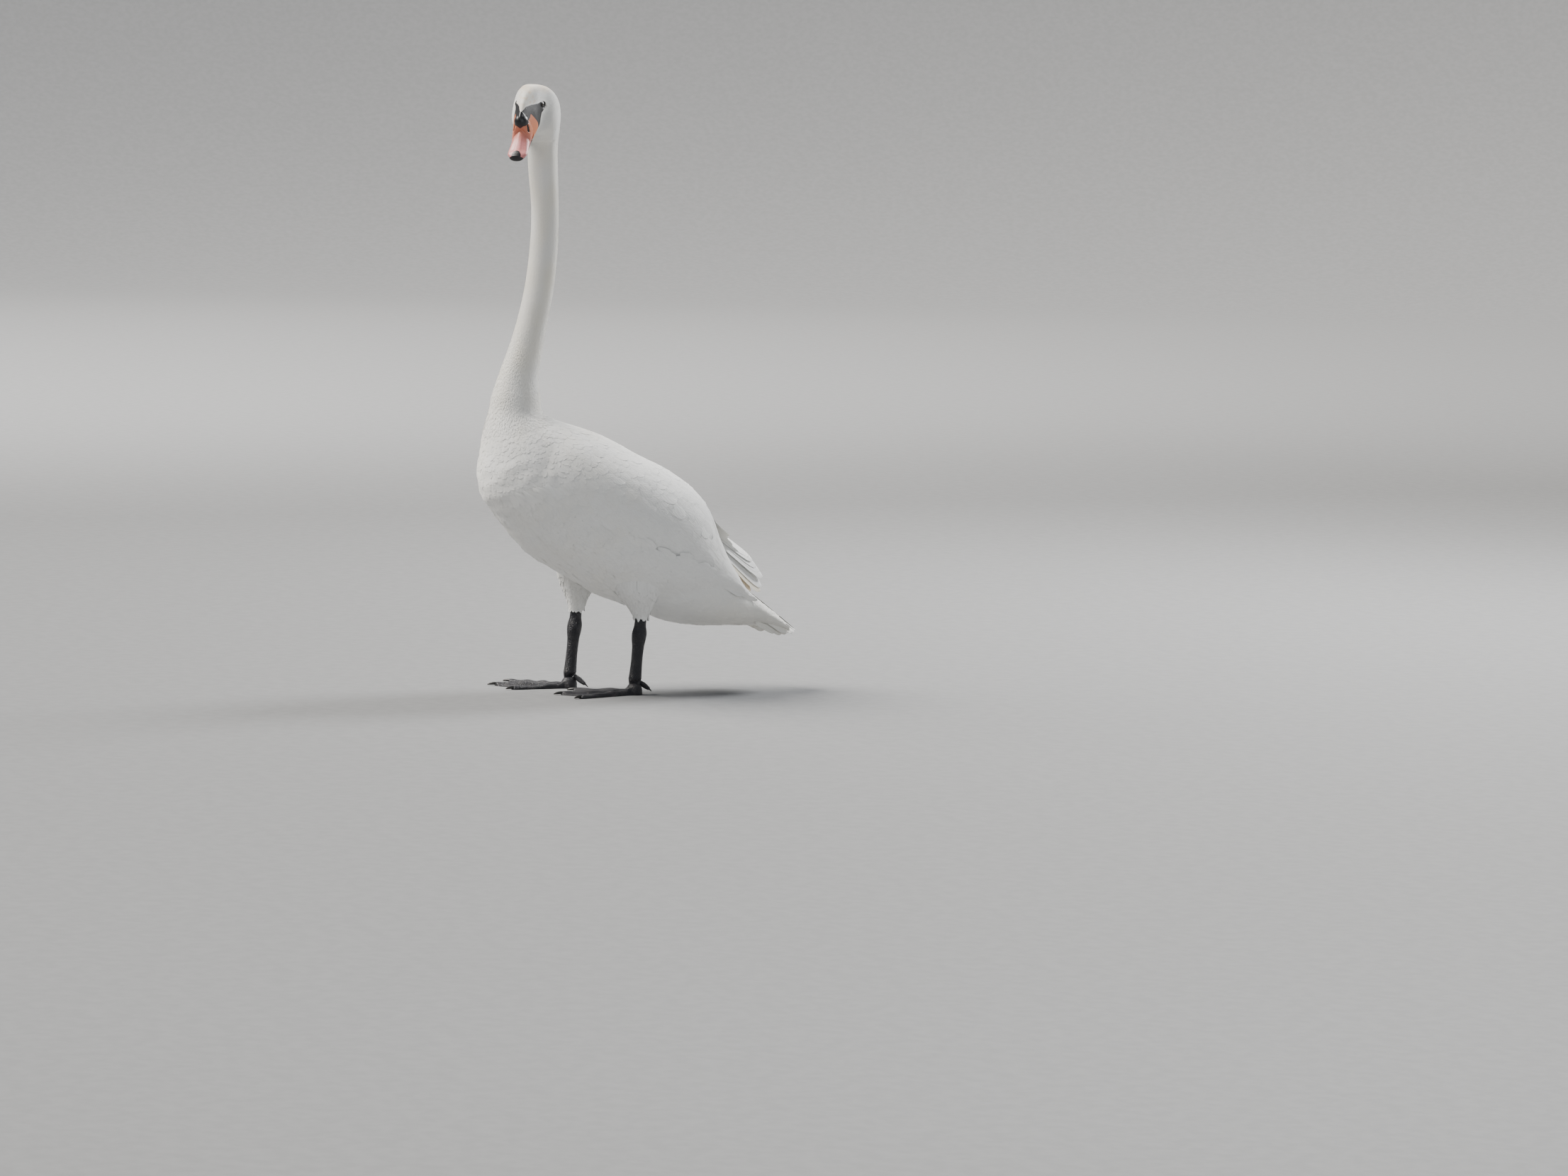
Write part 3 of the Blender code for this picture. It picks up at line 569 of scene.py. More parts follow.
def leg_grid(side):
    """One sheet from inside the flank down the thigh and shank, out over the foot and back under
    it. Its columns stand evenly round the shank and crowd into the fan of toes on the foot.
    """
    fan = np.radians(np.linspace(-36, 34, LEG_COLUMNS - 24))
    rear = np.radians(np.concatenate([np.linspace(-172, -42, 12), np.linspace(40, 178, 12)]))
    turns = np.sort(np.concatenate([fan, rear]))
    even = -math.pi + (np.arange(LEG_COLUMNS) + 0.5) * 2 * math.pi / LEG_COLUMNS
    thigh_rows = read_between(LEGS[side][0], np.linspace(0.2, 4, 16))
    inset = np.interp(np.linspace(0, 1, 16), *THIGH_INSET)[:, None]
    centre = MIDDLE + thigh_rows[:, None, 0:3] * (side, 1, 1)
    aside, behind = np.sin(even) * side, -np.cos(even)
    half_depth, half_width = thigh_rows[:, 3, None] - inset, thigh_rows[:, 4, None] - inset
    across = half_width * aside
    thigh = centre + np.stack([across, half_depth * behind, 0 * across], -1)
    top, bottom, foot_turn = leg_line(side)
    shares = np.linspace(0.02, 0.93, 52)
    table = np.array(SHANK_RINGS)
    half_depth = np.interp(shares, np.linspace(0, 1, 201), shank_profile(table, 1))[:, None]
    half_width = np.interp(shares, np.linspace(0, 1, 201), shank_profile(table, 2))[:, None]
    centre = (top + (bottom - top) * shares[:, None])[:, None]
    knob = 1 + 0.10 * np.exp(-(((shares - 0.27) / 0.05) ** 2))[:, None] * np.abs(np.sin(even)) ** 6
    across = half_width * aside * knob
    shank = centre + np.stack([across, half_depth * behind, 0 * across], -1)
    # On the foot, rows run out from the heel's top to the rim, then down to the sole.
    heel = bottom - (0, 0, HEEL_TOP)
    rim = foot_reach(turns)
    spread = np.concatenate([np.linspace(0.0, 1.0, 46) ** 1.15, [1.0, 1.0]])[:, None]
    reach = FOOT_TOP + (rim - FOOT_TOP) * spread
    height = foot_height(reach, turns)
    height[:-1] = np.maximum(height[:-1], 0.0007)
    ease = np.clip((1 - spread[:-2]) * (rim - FOOT_TOP) / 0.0015, 0, 1)
    height[:-2] = height[:-2] * (0.55 + 0.45 * np.sqrt(ease))
    height[-2], height[-1] = height[-3] * 0.45, 0
    reach[-2] = reach[-2] + 0.0002
    x, y = turned(side * reach * np.sin(turns), -reach * np.cos(turns), foot_turn)
    foot = heel + np.stack([x, y, height], -1)
    # Between shank and foot the instep curves out from one to the other.
    blend = np.array([0.2, 0.45, 0.7, 0.88])[:, None, None]
    lower, upper = foot[0], shank[-1]
    instep = upper + (lower - upper) * blend
    return np.concatenate([thigh, shank, instep, foot], axis=0)


def way_tube(root, way, rings, columns):
    """Rings round a straight line from root along way: (reach, radius) for each ring."""
    aside = unit(np.cross(way, UP))
    over = np.cross(aside, way)
    turn = all_round(columns)[:, None]
    reach, radius = rings[:, 0, None, None], rings[:, 1, None, None]
    return root + way * reach + radius * (np.cos(turn) * over + np.sin(turn) * aside)


def heel_frame(side):
    """The heel's place on the floor, and its ways ahead and outwards."""
    _, bottom, turn = leg_line(side)
    ahead = np.array([math.sin(turn), -math.cos(turn), 0])
    return bottom - (0, 0, HEEL_TOP), ahead, side * np.array([math.cos(turn), math.sin(turn), 0])


def hallux_line(side):
    heel, ahead, outwards = heel_frame(side)
    root = heel + HALLUX_ROOT[0] * outwards - HALLUX_ROOT[1] * ahead + HALLUX_ROOT[2] * UP
    way = HALLUX_WAY[0] * outwards - HALLUX_WAY[1] * ahead + HALLUX_WAY[2] * UP
    return root, unit(way)


def shank_profile(table, column):
    """One column of the shank's table, read at 201 even shares of its length."""
    places = np.interp(np.linspace(0, 1, 201), table[:, 0], np.arange(len(table)))
    return read_between(table, places)[:, column]


def join_solids(piece, others):
    """Unites closed pieces into the first one and removes the rest."""
    for other in others:
        union = piece.modifiers.new("unite", "BOOLEAN")
        union.operation, union.solver, union.object = "UNION", "MANIFOLD", other
    graph = bpy.context.evaluated_depsgraph_get()
    mesh = bpy.data.meshes.new_from_object(piece.evaluated_get(graph))
    piece.modifiers.clear()
    piece.data = mesh
    for other in others:
        bpy.data.objects.remove(other)
    mesh.polygons.foreach_set("use_smooth", np.ones(len(mesh.polygons), bool))
    return piece


class Paint:
    """A procedural material: one Principled shader and the nodes that feed it."""

    def __init__(self, name, **constants):
        self.material = bpy.data.materials.new(name)
        self.material.use_nodes = True
        self.shader = self.material.node_tree.nodes["Principled BSDF"]
        for socket, value in constants.items():
            self.set(socket.replace("_", " "), value)

    def feed(self, socket, value):
        """Sets a socket to a number or a colour, or links another node's output to it."""
        if isinstance(value, bpy.types.NodeSocket):
            self.material.node_tree.links.new(value, socket)
        else:
            socket.default_value = (*value, 1) if isinstance(value, tuple) else value

    def set(self, socket, value):
        self.feed(self.shader.inputs[socket], value)

    def node(self, kind, inputs, **settings):
        """Outputs of a new node."""
        node = self.material.node_tree.nodes.new("ShaderNode" + kind)
        for setting, value in settings.items():
            setattr(node, setting, value)
        for socket, value in inputs.items():
            self.feed(node.inputs[socket], value)
        return node.outputs

    def number(self, name):
        return self.node("Attribute", {}, attribute_name=name)["Fac"]

    def noise(self, scale, detail=3.0):
        place = self.node("TexCoord", {})["Object"]
        inputs = {"Vector": place, "Scale": scale, "Detail": detail, "Roughness": 0.55}
        return self.node("TexNoise", inputs)[0]

    def cell_edges(self, scale):
        inputs = {"Vector": self.node("TexCoord", {})["Object"], "Scale": scale}
        return self.node("TexVoronoi", inputs, feature="DISTANCE_TO_EDGE")[0]

    def maths(self, operation, first, second=0.5):
        return self.node("Math", {0: first, 1: second}, operation=operation)[0]

    def times(self, first, second):
        return self.maths("MULTIPLY", first, second)

    def plus(self, first, second):
        return self.maths("ADD", first, second)

    def step(self, value, low, high):
        """0 at low to 1 at high, eased."""
        inputs = {0: value, 1: low, 2: high}
        return self.node("MapRange", inputs, interpolation_type="SMOOTHSTEP")[0]

    def mix(self, share, first, second):
        return self.node("Mix", {0: share, 6: first, 7: second}, data_type="RGBA")[2]

    def bump(self, height, distance, below=None, strength=1.0):
        inputs = {"Height": height, "Distance": distance, "Strength": strength}
        return self.node("Bump", inputs if below is None else {**inputs, "Normal": below})[0]


LEG_BLACK = (0.022, 0.022, 0.027)
LEG_WORN = (0.075, 0.068, 0.066)
FACE_BLACK = (0.010, 0.010, 0.012)
HIDE_WHITE = (0.80, 0.77, 0.71)
BILL_ORANGE = (0.63, 0.195, 0.080)
BILL_SKY_REFLECTION_PINK = (0.66, 0.255, 0.255)


def bill_colour(paint):
    """Orange at the base, with a painted pink reflection of the sky that grows towards the nail,
    broken by fine streaks, and black outside the orange field; the same on the bill and on the bare
    skin beside it.
    """
    # The pink that grows towards the tip is a painted reflection of the sky on the orange horn.
    sky_reflection = paint.step(paint.number("to_tip"), 0.05, 0.60)
    orange = paint.mix(sky_reflection, BILL_ORANGE, BILL_SKY_REFLECTION_PINK)
    streaks = paint.step(paint.noise(260, 5), 0.35, 0.75)
    orange = paint.mix(paint.times(streaks, 0.30), orange, (0.50, 0.12, 0.07))
    wobble = paint.times(paint.maths("SUBTRACT", paint.noise(300, 2), 0.5), 0.0009)
    edge = paint.plus(paint.number("orange"), wobble)
    return paint.mix(paint.step(edge, -0.0002, 0.0004), FACE_BLACK, orange)


def make_skin_material():
    """White hide, black scaly legs with paler worn scales, and the bare black and orange face."""
    paint = Paint("hide", Specular_IOR_Level=0.45)
    scales = paint.cell_edges(420)
    plates = paint.step(scales, 0.0, 0.25)
    worn = paint.times(paint.step(paint.noise(60, 5), 0.50, 0.72), plates)
    leg = paint.mix(worn, LEG_BLACK, LEG_WORN)
    face = bill_colour(paint)
    bare = paint.step(paint.number("bare"), -0.0004, 0.0002)
    colour = paint.mix(bare, HIDE_WHITE, face)
    is_leg = paint.number("leg")
    colour = paint.mix(is_leg, colour, leg)
    paint.set("Base Color", colour)
    gloss = paint.plus(paint.times(paint.noise(90), 0.22), 0.30)
    paint.set("Roughness", gloss)
    relief = paint.times(plates, is_leg)
    first = paint.bump(relief, 0.0005)
    creases = paint.bump(paint.noise(320, 4), 0.0004, first, 0.5)
    paint.set("Normal", paint.bump(paint.noise(1400, 2), 0.0001, creases))
    return paint.material


def make_skin():
    material = make_skin_material()
    skin = new_tube("skin", hide_grid(), material, inward=True)
    legs = []
    for side, name in SIDE_NAMES.items():
        legs.append(new_tube("leg_hide_" + name, leg_grid(side), material, inward=side < 0))
        toe = way_tube(*hallux_line(side), read_between(HALLUX, np.linspace(0, 5, 26)), 24)
        legs.append(new_tube("hind_toe_" + name, toe, material))
    skin = join_solids(skin, legs)
    points = points_of(skin.data)
    is_leg = points[:, 2] < ANKLE_HEIGHT
    for side in (1, -1):
        top, bottom, _ = leg_line(side)
        share = np.clip((top[2] - points[:, 2]) / (top[2] - bottom[2]), -0.3, 1)[:, None]
        axis = top + (bottom - top) * share
        near = np.hypot(*(points - axis)[:, :2].T) < 0.019
        is_leg = is_leg | (near & (points[:, 2] < top[2] + 0.012))
    forward, _, up = in_head(points)
    set_numbers(skin.data, leg=is_leg, bare=bare_by(points), to_tip=to_bill_tip(forward, up),
                orange=inside_by(ORANGE_FIELD, forward, up))
    return skin


skin = make_skin()
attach(skin, "root")
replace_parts(skin, "trunk", "head", "neck_upper", "neck_middle", "neck_lower", "thigh_left",
            "thigh_right", "tail", "wing_left", "wing_right", "shank_left", "shank_right",
            "foot_left", "foot_right", "hallux_left", "hallux_right")


# ---------------------------------------------------------------- bill
# Horn over bone. The upper bill is orange, with a black knob at its base, black nostrils, edge and
# nail; the slim lower bill closes inside it. Fine lamellae line the edge.

# Each half: (ridge forward, up, cutting edge forward, up, half width, low bulge) from the eye
BILL_UPPER = [
    (0.0620, -0.0120, 0.0350, -0.0587, 0.0183, -0.58),
    (0.0683, -0.0220, 0.0397, -0.0625, 0.0176, -0.62),
    (0.0684, -0.0301, 0.0444, -0.0659, 0.0172, -0.64),
    (0.0646, -0.0378, 0.0491, -0.0693, 0.0168, -0.64),
    (0.0604, -0.0439, 0.0539, -0.0728, 0.0164, -0.62),
    (0.0630, -0.0507, 0.0586, -0.0762, 0.0163, -0.56),
    (0.0693, -0.0623, 0.0652, -0.0808, 0.0166, -0.42),
    (0.0788, -0.0742, 0.0718, -0.0854, 0.0172, -0.30),
    (0.0867, -0.0819, 0.0785, -0.0900, 0.0166, -0.20),
    (0.0912, -0.0883, 0.0827, -0.0934, 0.0125, -0.10),
]
BILL_UPPER_TIP = (0.0881, -0.0970)
BILL_LOWER = [
    (0.0348, -0.0591, 0.0324, -0.0632, 0.0150, 0),
    (0.0442, -0.0663, 0.0420, -0.0701, 0.0142, 0),
    (0.0536, -0.0732, 0.0515, -0.0770, 0.0138, 0),
    (0.0650, -0.0812, 0.0631, -0.0846, 0.0138, 0),
    (0.0716, -0.0859, 0.0699, -0.0890, 0.0138, 0),
    (0.0782, -0.0906, 0.0774, -0.0931, 0.0120, 0),
    (0.0817, -0.0933, 0.0813, -0.0949, 0.0080, 0),
]
BILL_LOWER_TIP = (0.0826, -0.0948)
# The rest is in profile from the eye, with the head level.
KNOB = (0.0590, -0.0238)
KNOB_RADIUS = 0.0122
NOSTRIL = ((0.0600, -0.0310), (0.0602, -0.0398))
KNOB_SIDE = 0.0118  # half width of the black across the knob
KNOB_FOOT = -0.0300  # its lower border beside the ball
NAIL = (0.0950, -0.0815)
NAIL_RADIUS = 0.0112
EDGE_WIDTH = 0.0021  # of the black cutting edge
GROOVE_DEPTH = 0.0010  # round the knob
NOSTRIL_DEPTH, NOSTRIL_RIM = 0.0022, 0.0004
NAIL_HEIGHT = 0.0005
VALLEY_DEPTH = 0.0009  # beside the ridge


def segment_distance(ends, x, y):
    start, step = np.array(ends[0]), np.subtract(ends[1], ends[0])
    share = np.clip(((x - start[0]) * step[0] + (y - start[1]) * step[1]) / (step @ step), 0, 1)
    return np.hypot(x - start[0] - share * step[0], y - start[1] - share * step[1])


def bill_grid(rings, tip, rows, columns):
    """Rings along one half of the bill, then shrinking rings that round off its tip."""
    table = read_between(head_rows(rings), np.linspace(0, len(rings) - 1, rows))
    angles = all_round(columns)
    grid, out = ring_points(table[:, None], angles)
    turn = np.linspace(0, math.pi / 2, 14)[1:-1, None, None]
    end = EYES_MIDDLE + tip[0] * AHEAD + tip[1] * UP
    middle = grid[-1].mean(axis=0)
    cap = middle + (end - middle) * np.sin(turn) + (grid[-1] - middle) * np.cos(turn)
    cap_out = np.broadcast_to(out[-1], cap.shape)
    return np.concatenate([grid, cap]), np.concatenate([out, cap_out]), angles


def make_bill_material():
    """Waxy horn: smooth and slightly glossy, with fine creases along it and a comb of lamellae at
    the cutting edge.
    """
    paint = Paint("bill_horn", Specular_IOR_Level=0.5, Coat_Weight=0.10, Coat_Roughness=0.25)
    paint.set("Base Color", bill_colour(paint))
    worn = paint.times(paint.noise(130, 4), 0.22)
    paint.set("Roughness", paint.plus(worn, 0.28))
    comb = paint.maths("SINE", paint.times(paint.number("to_tip"), 420.0))
    comb = paint.times(comb, paint.number("edge"))
    first = paint.bump(comb, 0.0003)
    creases = paint.bump(paint.noise(240, 5), 0.0005, first, 0.55)
    paint.set("Normal", paint.bump(paint.noise(1200, 2), 0.00008, creases))
    return paint.material


def make_upper_bill(material):
    """The knob is pushed out to a ball with a groove round it, each nostril pressed in, a shallow
    valley sunk beside the ridge, and the nail raised a little over the tip.
    """
    grid, out, angles = bill_grid(BILL_UPPER, BILL_UPPER_TIP, 132, 144)
    forward, left, up = in_head(grid)
    from_ridge = np.abs(signed(angles))
    away = np.stack([forward - KNOB[0], left, up - KNOB[1]], axis=-1)
    far = np.maximum(np.linalg.norm(away, axis=2), 1e-5)
    upper = smooth_step(1.75, 1.35, from_ridge)
    push = np.maximum(KNOB_RADIUS - far, 0) * smooth_step(0, 0.006, far) * upper
    groove = GROOVE_DEPTH * np.exp(-(((far - KNOB_RADIUS - 0.0012) / 0.0016) ** 2)) * upper
    groove = groove * smooth_step(-0.030, -0.036, up)
    way = away / far[..., None]
    way = way @ np.array([AHEAD * math.cos(HEAD_NOD) - UP * math.sin(HEAD_NOD), LEFT,
                          AHEAD * math.sin(HEAD_NOD) + UP * math.cos(HEAD_NOD)])
    hole = segment_distance(NOSTRIL, forward, up)
    side = hump(0.20, 0.45, 1.7, 2.0, from_ridge)
    press = NOSTRIL_DEPTH * smooth_step(0.0028, 0.0007, hole) * side
    rim = NOSTRIL_RIM * np.exp(-(((hole - 0.0036) / 0.0009) ** 2)) * side
    nail = NAIL_RADIUS - np.hypot(np.hypot(forward - NAIL[0], up - NAIL[1]), left * 1.35)
    nail = np.where(from_ridge < 1.9, nail, -0.01)
    raised = NAIL_HEIGHT * smooth_step(-0.0003, 0.0006, nail)
    valley = VALLEY_DEPTH * hump(0.25, 0.6, 0.8, 1.3, from_ridge)
    valley = valley * hump(0.25, 0.5, 0.75, 0.95, to_bill_tip(forward, up))
    grid = grid + way * push[..., None] + out * (rim + raised - press - groove - valley)[..., None]
    bill = new_tube("upper_bill", grid, material, inward=True)
    forward, left, up = in_head(points_of(bill.data))
    orange = inside_by(ORANGE_FIELD, forward, up)
    off_knob = far - KNOB_RADIUS - 0.0006 + 0.01 * (1 - upper)
    beside_knob = np.maximum(np.abs(left) - KNOB_SIDE, KNOB_FOOT - up)
    off_nostril = hole - 0.0021 + 0.01 * (1 - side)
    from_front = grid - grid[:, [len(angles) // 2]]
    in_profile = from_front - (from_front @ LEFT)[..., None] * LEFT
    edge = np.linalg.norm(in_profile, axis=2) - EDGE_WIDTH
    for black in (
        on_tube(grid, off_knob, 0.01, 0.01), np.where(forward > 0.040, beside_knob, orange),
        on_tube(grid, off_nostril, 0.01, 0.01), on_tube(grid, -nail, -0.01, -0.01),
        on_tube(grid, edge, -0.01, -0.01),
    ):
        orange = np.minimum(orange, black)
    set_numbers(bill.data, orange=orange, to_tip=to_bill_tip(forward, up),
                edge=on_tube(grid, smooth_step(0.0012, -0.0006, edge), 0, 0))
    return bill


def make_lower_bill(material):
    grid, _, angles = bill_grid(BILL_LOWER, BILL_LOWER_TIP, 96, 72)
    bill = new_tube("lower_bill", grid, material, inward=True)
    forward, _, up = in_head(points_of(bill.data))
    low = on_tube(grid, -np.cos(angles), 0, 0)
    share = to_bill_tip(forward, up)
    orange = (low - 0.55) * smooth_step(0.2, 0.35, share) - smooth_step(0.82, 0.9, share)
    set_numbers(bill.data, orange=0.004 * orange, to_tip=share, edge=smooth_step(0.5, -0.2, low))
    return bill


horn = make_bill_material()
for bill, node in ((make_upper_bill(horn), "bill_upper"), (make_lower_bill(horn), "bill_lower")):
    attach(bill, "root")
    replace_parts(bill, node)


# ---------------------------------------------------------------- eyes
# Wet, glossy eyeballs that bulge over a dark brown iris with a round black pupil.

EYE_BROWN = (0.040, 0.017, 0.008)
EYE_LOOKS = (0.22, 0.06)  # forward and up for each metre outwards
PUPIL, IRIS = 0.0021, 0.0046  # radii
CORNEA = 0.0005  # its bulge
LID_ROLL = (0.00095, 0.00052)  # half width and half height of the lids' rim


def make_eye_material():
    paint = Paint("wet_eye", Roughness=0.06, Specular_IOR_Level=0.6, Coat_Weight=1.0,
                  Coat_Roughness=0.02, IOR=1.38)
    from_pupil = paint.number("from_pupil")
    rays = paint.step(paint.noise(900, 3), 0.3, 0.8)
    brown = paint.mix(rays, EYE_BROWN, (0.075, 0.034, 0.014))
    past_pupil = paint.step(from_pupil, PUPIL - 0.0003, PUPIL + 0.0003)
    dark = paint.mix(past_pupil, (0.002, 0.002, 0.002), brown)
    rim = paint.step(from_pupil, IRIS - 0.0006, IRIS)
    colour = paint.mix(rim, dark, (0.008, 0.007, 0.007))
    paint.set("Base Color", colour)
    return paint.material


def make_eye(side, material):
    """A ball whose front bulges over the iris: radius + cornea x (1 - (distance / iris)^2)."""
    look = unit(side * LEFT + EYE_LOOKS[0] * AHEAD + EYE_LOOKS[1] * UP)
    aside = unit(np.cross(UP, look))
    over = np.cross(look, aside)
    polar = np.linspace(0, math.pi, 50)[1:-1, None]
    turn = all_round(64)[:, None]
    in_front = polar < math.pi / 2
    from_pupil = np.where(in_front, EYE_RADIUS * np.sin(polar), EYE_RADIUS)
    radius = (EYE_RADIUS + CORNEA * np.clip(1 - (from_pupil / IRIS) ** 2, 0, 1))[..., None]
    sideways = np.cos(turn) * aside + np.sin(turn) * over
    grid = eye_centre(side) + radius * (
        np.cos(polar)[..., None] * look + np.sin(polar)[..., None] * sideways)
    eye = new_tube("eyeball_" + SIDE_NAMES[side], grid, material)
    set_numbers(eye.data, from_pupil=on_tube(grid, from_pupil, 0, EYE_RADIUS))
    return eye


def make_lids(side):
    """The lids' rim: a thin wrinkled roll of bare skin that follows the opening over the ball."""
    turn = all_round(128)[:, None]
    along = np.sign(np.cos(turn)) * np.abs(np.cos(turn)) ** 1.1 * EYE_OPENING[0] * 1.02
    over = np.sign(np.sin(turn)) * np.abs(np.sin(turn)) ** 1.02 * EYE_OPENING[1] * 1.02
    forward, up = turned(along, over, -EYE_TILT)
    ball = np.sqrt(EYE_RADIUS**2 - forward**2 - up**2) + 0.0002
    aside = forward[..., None] * AHEAD + up[..., None] * UP
    line = aside + ball[..., None] * side * LEFT
    outward = unit(line)
    aside = unit(aside - (aside * outward).sum(-1, keepdims=True) * outward)
    section = all_round(16)
    wrinkle = 1 + 0.10 * np.sin(turn * 31 + 2 * np.sin(turn * 5))
    grid = eye_centre(side) + line + LID_ROLL[0] * np.cos(section)[:, None] * aside
    grid = grid + (LID_ROLL[1] * wrinkle * np.sin(section))[..., None] * outward
    corner = np.arange(128 * 16).reshape(128, 16)
    beside, onward = np.roll(corner, -1, axis=1), np.roll(corner, -1, axis=0)
    faces = np.stack([corner, beside, np.roll(beside, -1, axis=0), onward], -1).reshape(-1, 4)
    faces = faces[:, ::-side].tolist()
    lids = new_piece("eyelids_" + SIDE_NAMES[side], grid, faces, skin.data.materials[0])
    set_numbers(lids.data, bare=np.full(128 * 16, 0.01), orange=np.full(128 * 16, -0.01))
    return lids


wet = make_eye_material()
for side in (1, -1):
    eye = make_eye(side, wet)
    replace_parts(eye, "eye_" + SIDE_NAMES[side])
    for piece, slot in ((eye, "eye"), (make_lids(side), "plumage_head")):
        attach(piece, "root")


# ---------------------------------------------------------------- claws
# Short blunt black claws, ribbed along their length and worn paler at the tips.

CLAW_LENGTH = 0.0135
CLAW_RADIUS = 0.0030
CLAW_HEIGHT = 0.0036  # over the floor, at the toe
HIND_CLAW_SCALE = 0.6
HIND_CLAW_REACH = 0.018  # along the hind toe
TOE_NAMES = ("inner", "middle", "outer")


def make_claw_material():
    paint = Paint("claw_horn", Roughness=0.35, Specular_IOR_Level=0.5)
    worn = paint.step(paint.noise(500, 4), 0.45, 0.8)
    pale = paint.times(worn, paint.plus(paint.number("to_end"), 0.15))
    paint.set("Base Color", paint.mix(pale, (0.012, 0.012, 0.013), (0.11, 0.095, 0.075)))
    paint.set("Normal", paint.bump(paint.noise(1500, 3), 0.00012))
    return paint.material


def make_claw(name, root, ahead, scale, material):
    """Rings along a bent line: radius x sqrt(1 - 0.93 s^2), flattened below, drooping as s^2."""
    share = np.linspace(-0.18, 1, 26)[:, None, None]
    past = np.clip(share, 0, 1)
    turn = all_round(28)[:, None]
    aside = unit(np.cross(ahead, UP))
    over = np.cross(aside, ahead)
    ribs = 1 + 0.03 * np.sin(turn * 7) * (1 - past)
    radius = CLAW_RADIUS * scale * np.sqrt(1 - 0.93 * past**2) * ribs
    low = np.where(np.sin(turn) < 0, 0.72, 1.0)
    drop = -0.0018 * scale * past**2 * UP
    grid = root + ahead * CLAW_LENGTH * scale * share + drop + radius * (
        0.88 * np.cos(turn) * aside + low * np.sin(turn) * over)
    grid[..., 2] = np.maximum(grid[..., 2], 0.0002)
    claw = new_tube(name, grid, material, inward=True)
    set_numbers(claw.data, to_end=on_tube(grid, past[..., 0], 0, 1))
    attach(claw, "root")
    return claw


horny = make_claw_material()
for side in (1, -1):
    heel, ahead, outwards = heel_frame(side)
    claws = []
    for toe, turn, length in zip(TOE_NAMES, TOE_TURNS, TOE_LENGTHS):
        way = ahead * math.cos(turn) + outwards * math.sin(turn)
        claws.append((toe, heel + way * length + CLAW_HEIGHT * UP, way, 1.0))
    root, way = hallux_line(side)
    claws.append(("hallux", root + way * HIND_CLAW_REACH, way, HIND_CLAW_SCALE))
    for toe, root, way, scale in claws:
        name = SIDE_NAMES[side] + "_" + toe
        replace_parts(make_claw("claw_horn_" + name, root, way, scale, horny), "claw_" + name)


# ---------------------------------------------------------------- short plumage of head and neck
# Fine, velvety feathers lie back from the bill and down the neck, each rooted in the skin and
# rising to the outline at its tip. They are smallest round the eye and the bill's base.

SHEET_STEP = 0.002  # along the bird, between rows of the sheets that feathers are laid on
SHEET_COLUMNS = 400
RIPPLE_HEIGHT = 0.0008
ROW_JITTER, WAY_JITTER = 0.22, 0.30  # of roots, over the gap in a row and between rows
ROOT_SINK = 0.94  # how deep a root lies, over the coat's depth
LENGTH_VARIES, WIDTH_VARIES, TIP_VARIES, ROLL_VARIES = 0.10, 0.07, 0.15, 0.03
# A feather's shape: its outline as (share of the length, share of the half width), and its columns
SHORT = (np.array([(0, 0.55), (0.45, 1.0), (0.82, 0.72), (1.0, 0.10)]), np.array([-1.0, 0.0, 1.0]))
BROAD = (
    np.array([(0, 0.30), (0.28, 0.78), (0.55, 1.0), (0.76, 0.97), (0.90, 0.74), (0.97, 0.46),
              (1.0, 0.14)]),
    np.array([-1.0, -0.5, 0.0, 0.5, 1.0]),
)
BAKE_PATCH = 0.003
WHITE_FEATHER = (0.86, 0.86, 0.84)
CREAM_FEATHER = (0.84, 0.78, 0.64)
RUSTY_FEATHER = (0.72, 0.50, 0.30)
sheet_ways = np.arange(0, way_at(LAST_PLACE), SHEET_STEP)


def soft_noise(points, size, seed):
    """Smooth noise from -1 to 1 over lumps of this size: a sum of six turned sine waves."""
    random = np.random.default_rng(seed)
    total = np.zeros(points.shape[:-1])
    for _ in range(6):
        way = unit(random.normal(size=3)) * random.uniform(0.7, 1.5)
        total += np.sin(points @ way * 2 * math.pi / size + random.uniform(0, 6.28))
    return total / 3.2


def ripples(points, places, angles):
    """Low folds in the plumage of breast, belly and flanks, that run round the body."""
    trunk = hump(1.5, 3.5, 13.0, 15.5, places - FIRST_BODY)
    below = smooth_step(0.25, -0.35, np.cos(angles))
    folds = soft_noise(points * (0.5, 0.6, 1.0), 0.026, 71) + 0.8 * soft_noise(points, 0.075, 72)
    return RIPPLE_HEIGHT * trunk * below * folds


def make_sheet(rise):
    """Points and normals of the outline raised by rise(place, angle), on a close grid that
    feathers are laid along.
    """
    places, angles = place_at(sheet_ways)[:, None], all_round(SHEET_COLUMNS)
    points, out = outline(places, angles)
    points = points + out * (ripples(points, places, angles) + rise(places, angles))[..., None]
    return np.concatenate([points, surface_normals(points)], axis=2).astype(np.float32)


def read_sheet(sheet, way, angle):
    """Points and normals on a sheet at distances along the bird and angles, read bilinearly."""
    row = np.clip(way / SHEET_STEP, 0, len(sheet) - 1.001)
    column = (angle / (2 * math.pi) * SHEET_COLUMNS) % SHEET_COLUMNS
    i, j = row.astype(int), column.astype(int) % SHEET_COLUMNS
    next_j = (j + 1) % SHEET_COLUMNS
    y, x = (row - i)[..., None], (column - np.floor(column))[..., None]
    upper = sheet[i, j] * (1 - x) + sheet[i, next_j] * x
    lower = sheet[i + 1, j] * (1 - x) + sheet[i + 1, next_j] * x
    both = upper * (1 - y) + lower * y
    return both[..., :3], both[..., 3:]


